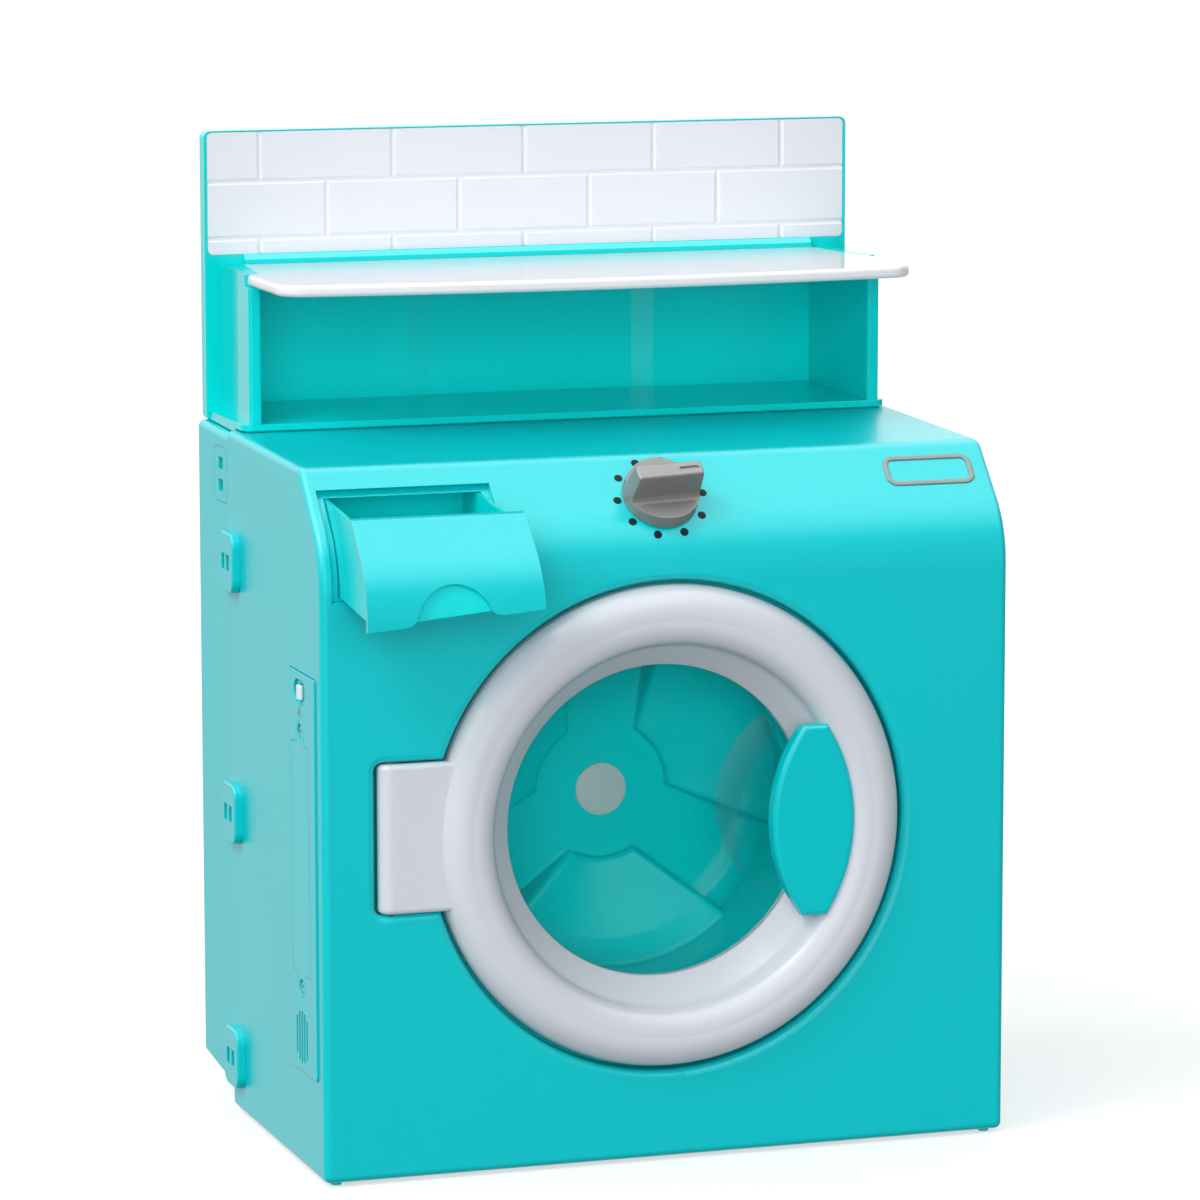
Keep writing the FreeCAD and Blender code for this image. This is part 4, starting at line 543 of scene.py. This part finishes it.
def cell_sleeve():
    """Plain two-tone sleeves of the dry cells: a lighter band over the ends that meet half-way up."""
    paint = Paint("cell_sleeve", {"Metallic": 0.35})
    low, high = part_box("batteries")
    z, = paint.axes("Z")
    band_half, soft = 0.012, 0.0002
    band = abs(z - (low.z + high.z) / 2).below(band_half, soft)
    clouds = paint.noise(scale=60.0)
    base = paint.blend(band, (0.02, 0.02, 0.022), (0.42, 0.33, 0.16))
    paint.feed(Base_Color=base, Roughness=0.28 + clouds * 0.1, Normal=paint.relief(clouds * 0.00002, 0.0003))
    return paint


def solder_mask():
    """Green solder mask with faint level tracks."""
    paint = Paint("solder_mask", {"IOR": 1.5})
    z, = paint.axes("Z")
    tracks = (z * 900.0).math("SINE").below(-0.6, 0.1)
    clouds = paint.noise(scale=80.0)
    base = paint.blend(tracks, (0.010, 0.075, 0.030), (0.020, 0.130, 0.050))
    paint.feed(Base_Color=base, Roughness=0.35 + clouds * 0.1, Normal=paint.relief(tracks * 0.00003, 0.0002))
    return paint


class WASHER_OT_dial_dots(bpy.types.Operator):
    """Dots printed on the control panel round the knob"""
    bl_idname = "washer.dial_dots"
    bl_label = "Dial dots"

    def execute(self, context):
        """Each dot is a low closed cap: a section, as shares of radius and height, turned about its middle."""
        marks, colours = context.scene.washer_marks, context.scene.washer_colours
        middle_x, middle_along = KNOB_SPOT
        turn = marks.dot_turn - np.arange(marks.dot_count) * 2 * math.pi / marks.dot_count
        share = np.array([0.0, 0.6, 0.92, 1.0, 1.0, 0.0])
        height = np.array([1.0, 1.0, 0.9, 0.4, -0.6, -0.6]) * marks.dot_height
        side = np.linspace(0, 2 * math.pi, 28, endpoint=False)
        spot_x = (middle_x + marks.dot_circle * np.cos(turn))[:, None, None]
        spot_along = (middle_along + marks.dot_circle * np.sin(turn))[:, None, None]
        reach = marks.dot_radius * share[None, :, None]
        points = panel_points(spot_x + reach * np.cos(side), spot_along + reach * np.sin(side),
                              height[None, :, None])
        piece = piece_from_rings("dial_dots", points, closed=False)
        paint = Paint("dot_ink", {"IOR": 1.2})
        speckle = paint.noise(scale=2600.0)
        paint.feed(Base_Color=paint.scaled(colours.ink, 0.8 + speckle * 0.5), Roughness=0.42 + speckle * 0.2,
                   Normal=paint.relief(speckle * 0.00001, 0.0001))
        piece.data.materials.append(paint.material)
        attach(piece, "cabinet")
        return {"FINISHED"}


class WASHER_OT_panel_frame(bpy.types.Operator):
    """Bare silver frame at the right end of the control panel"""
    bl_idname = "washer.panel_frame"
    bl_label = "Panel frame"

    def execute(self, context):
        """A section, a full half circle on short uprights, carried round a rounded rectangle on the panel."""
        marks, colours = context.scene.washer_marks, context.scene.washer_colours
        middle_x, middle_along = FRAME_SPOT
        half, sunk, fullness = marks.plate_rim / 2, 0.0003, 0.6
        path, out = rounded_rectangle(marks.plate_width - marks.plate_rim, marks.plate_height - marks.plate_rim,
                                      marks.plate_corner - half, steps=14)
        arc = np.linspace(0, math.pi, 13)
        across = np.concatenate([half * np.sign(np.cos(arc)) * np.abs(np.cos(arc)) ** fullness, [-half, half]])
        height = np.concatenate([marks.plate_proud * np.sin(arc) ** fullness, [-sunk, -sunk]])
        x = middle_x + path[:, None, 0] + out[:, None, 0] * across
        along = middle_along + path[:, None, 1] + out[:, None, 1] * across
        points = panel_points(x, along, height[None, :])
        piece = piece_from_rings("panel_frame", points[None], closed=True)
        paint = silver_paint("silver_frame", toned(colours.silver, (0.75, 1.0, 1.0)))
        piece.data.materials.append(paint.material)
        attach(piece, "cabinet")
        return {"FINISHED"}


class WASHER_OT_stage(bpy.types.Operator):
    """Pale floor, soft studio light and the camera"""
    bl_idname = "washer.stage"
    bl_label = "Stage"

    def execute(self, context):
        stage, scene = context.scene.washer_stage, context.scene
        scene.view_settings.view_transform = "Standard"
        floor = self.floor(half=25.0)
        glow = {"Emission Color": (1.0, 1.0, 1.0, 1.0), "Emission Strength": 0.58}
        paint = Paint("pale_floor", {"IOR": 1.4, **glow})
        clouds = paint.noise(scale=0.8)
        paint.feed(Base_Color=paint.scaled(stage.floor, 0.99 + clouds * 0.02), Roughness=0.75 + clouds * 0.1)
        floor.data.materials.append(paint.material)
        floor.visible_glossy = floor.visible_diffuse = False
        self.softbox("front_softbox", (-1.0, -3.6, 0.9), (2.6, 2.0), stage.fill)
        self.softbox("right_softbox", (2.4, -3.0, 0.9), (1.6, 1.6), stage.side)
        self.softbox("rear_softbox", (2.6, 2.7, 1.1), (2.6, 2.0), stage.rear)
        self.softbox("glint_softbox", (-1.7, -0.9, 2.5), (0.6, 0.6), stage.glint, mirrored=True)
        self.broad_light("upper_left_light", Vector((-0.70, -0.18, 0.69)), stage.key)
        self.sky(scene)
        self.camera(scene, stage.lens)
        return {"FINISHED"}

    def floor(self, half):
        """A level sheet of squares, z = 0 over x and y from -half to half."""
        line = np.linspace(-half, half, 9)
        x, y = np.meshgrid(line, line)
        points = np.stack([x, y, np.zeros_like(x)], axis=-1)
        index = np.arange(x.size).reshape(x.shape)
        quads = np.stack([index[:-1, :-1], index[:-1, 1:], index[1:, 1:], index[1:, :-1]], axis=-1)
        mesh = bpy.data.meshes.new("floor")
        mesh.from_pydata(points.reshape(-1, 3).tolist(), [], quads.reshape(-1, 4).tolist())
        floor = bpy.data.objects.new("floor", mesh)
        bpy.context.scene.collection.objects.link(floor)
        return floor

    def softbox(self, name, place, size, power, mirrored=False):
        """An area light that faces the middle of the part, seen in glossy surfaces or not."""
        light = bpy.data.lights.new(name, "AREA")
        light.shape = "RECTANGLE"
        light.size, light.size_y = size
        light.energy = power
        box = bpy.data.objects.new(name, light)
        box.location = place
        middle = (CAD_BOX[0] + CAD_BOX[1]) / 2
        box.rotation_euler = (middle - Vector(place)).to_track_quat("-Z", "Y").to_euler()
        box.visible_glossy = mirrored
        bpy.context.scene.collection.objects.link(box)

    def broad_light(self, name, place, strength):
        """A broad soft light from far away in one direction."""
        light = bpy.data.lights.new(name, "SUN")
        light.angle = math.radians(60)
        light.energy = strength
        lamp = bpy.data.objects.new(name, light)
        lamp.rotation_euler = place.to_track_quat("Z", "Y").to_euler()
        bpy.context.scene.collection.objects.link(lamp)

    def sky(self, scene):
        """Pale surround: white where it is seen straight, dim as a light, mirrored from behind and above."""
        world = bpy.data.worlds.new("studio")
        scene.world = world
        world.use_nodes = True
        sky = Nodes(world.node_tree)
        way = sky.node("ShaderNodeTexCoord", {}, {}, "Generated")
        depth, height = [sky.node("ShaderNodeSeparateXYZ", {}, {"Vector": way}, axis) for axis in "YZ"]
        front, low, side = depth.below(0.35, 0.35), height.below(0.0, 0.15), height.below(0.64, 0.25)
        glossy = sky.node("ShaderNodeLightPath", {}, {}, "Is Glossy Ray")
        seen = sky.node("ShaderNodeLightPath", {}, {}, "Is Camera Ray")
        dim, dark, ground, backdrop, ceiling, white = [
            sky.node("ShaderNodeBackground", {}, {"Color": (0.98, 0.99, 1.0, 1.0), "Strength": strength})
            for strength in (DIM, DARK, GROUND, BACKDROP, CEILING, WHITE)]

        def mix(share, one, two):
            return sky.node("ShaderNodeMixShader", {}, {0: share, 1: one, 2: two})

        mirrored = mix(side, ceiling, mix(front, mix(low, backdrop, ground), dark))
        sky.node("ShaderNodeOutputWorld", {}, {"Surface": mix(seen, mix(glossy, dim, mirrored), white)})

    def camera(self, scene, lens):
        """Camera at the photograph's angle."""
        data = bpy.data.cameras.new("camera")
        data.sensor_width = 36.0
        data.lens = lens
        data.clip_end = 60.0
        camera = bpy.data.objects.new("camera", data)
        right = CAMERA_RIGHT.normalized()
        back = right.cross(CAMERA_UP).normalized()
        upward = back.cross(right)
        turn = Matrix((right, upward, back)).transposed() @ Matrix.Rotation(CAMERA_ROLL, 3, "Z")
        place = CAMERA_PLACE + Vector((0.0, FRONT, 0.0))
        camera.matrix_world = Matrix.Translation(place) @ turn.to_4x4()
        scene.collection.objects.link(camera)
        scene.camera = camera


OPERATORS = (
    WASHER_OT_shells, WASHER_OT_sound_module, WASHER_OT_hutch, WASHER_OT_drawer_and_handle, WASHER_OT_drum,
    WASHER_OT_white_pieces, WASHER_OT_window, WASHER_OT_silver_pieces, WASHER_OT_inner_pieces,
    WASHER_OT_dial_dots, WASHER_OT_panel_frame, WASHER_OT_stage,
)


class WASHER_PT_looks(bpy.types.Panel):
    """Lists the pieces, sizes and colours of the toy washer-dryer"""
    bl_idname = "WASHER_PT_looks"
    bl_label = "Toy washer-dryer"
    bl_space_type = "VIEW_3D"
    bl_region_type = "UI"
    bl_category = "Toy washer"

    def draw(self, context):
        for group in (context.scene.washer_colours, context.scene.washer_marks, context.scene.washer_stage):
            box = self.layout.box()
            for name in group.__annotations__:
                box.prop(group, name)
        for operator in OPERATORS:
            self.layout.operator(operator.bl_idname)


CLASSES = (WasherColours, WasherMarks, WasherStage, *OPERATORS, WASHER_PT_looks)


def register():
    for cls in CLASSES:
        bpy.utils.register_class(cls)
    bpy.types.Scene.washer_colours = PointerProperty(type=WasherColours)
    bpy.types.Scene.washer_marks = PointerProperty(type=WasherMarks)
    bpy.types.Scene.washer_stage = PointerProperty(type=WasherStage)


def unregister():
    del bpy.types.Scene.washer_stage
    del bpy.types.Scene.washer_marks
    del bpy.types.Scene.washer_colours
    for cls in reversed(CLASSES):
        bpy.utils.unregister_class(cls)


def main():
    register()
    bpy.ops.washer.shells()
    bpy.ops.washer.sound_module()
    bpy.ops.washer.hutch()
    bpy.ops.washer.drawer_and_handle()
    bpy.ops.washer.drum()
    bpy.ops.washer.white_pieces()
    bpy.ops.washer.window()
    bpy.ops.washer.silver_pieces()
    bpy.ops.washer.inner_pieces()
    bpy.ops.washer.dial_dots()
    bpy.ops.washer.panel_frame()
    bpy.ops.washer.stage()


if __name__ == "__main__":
    main()
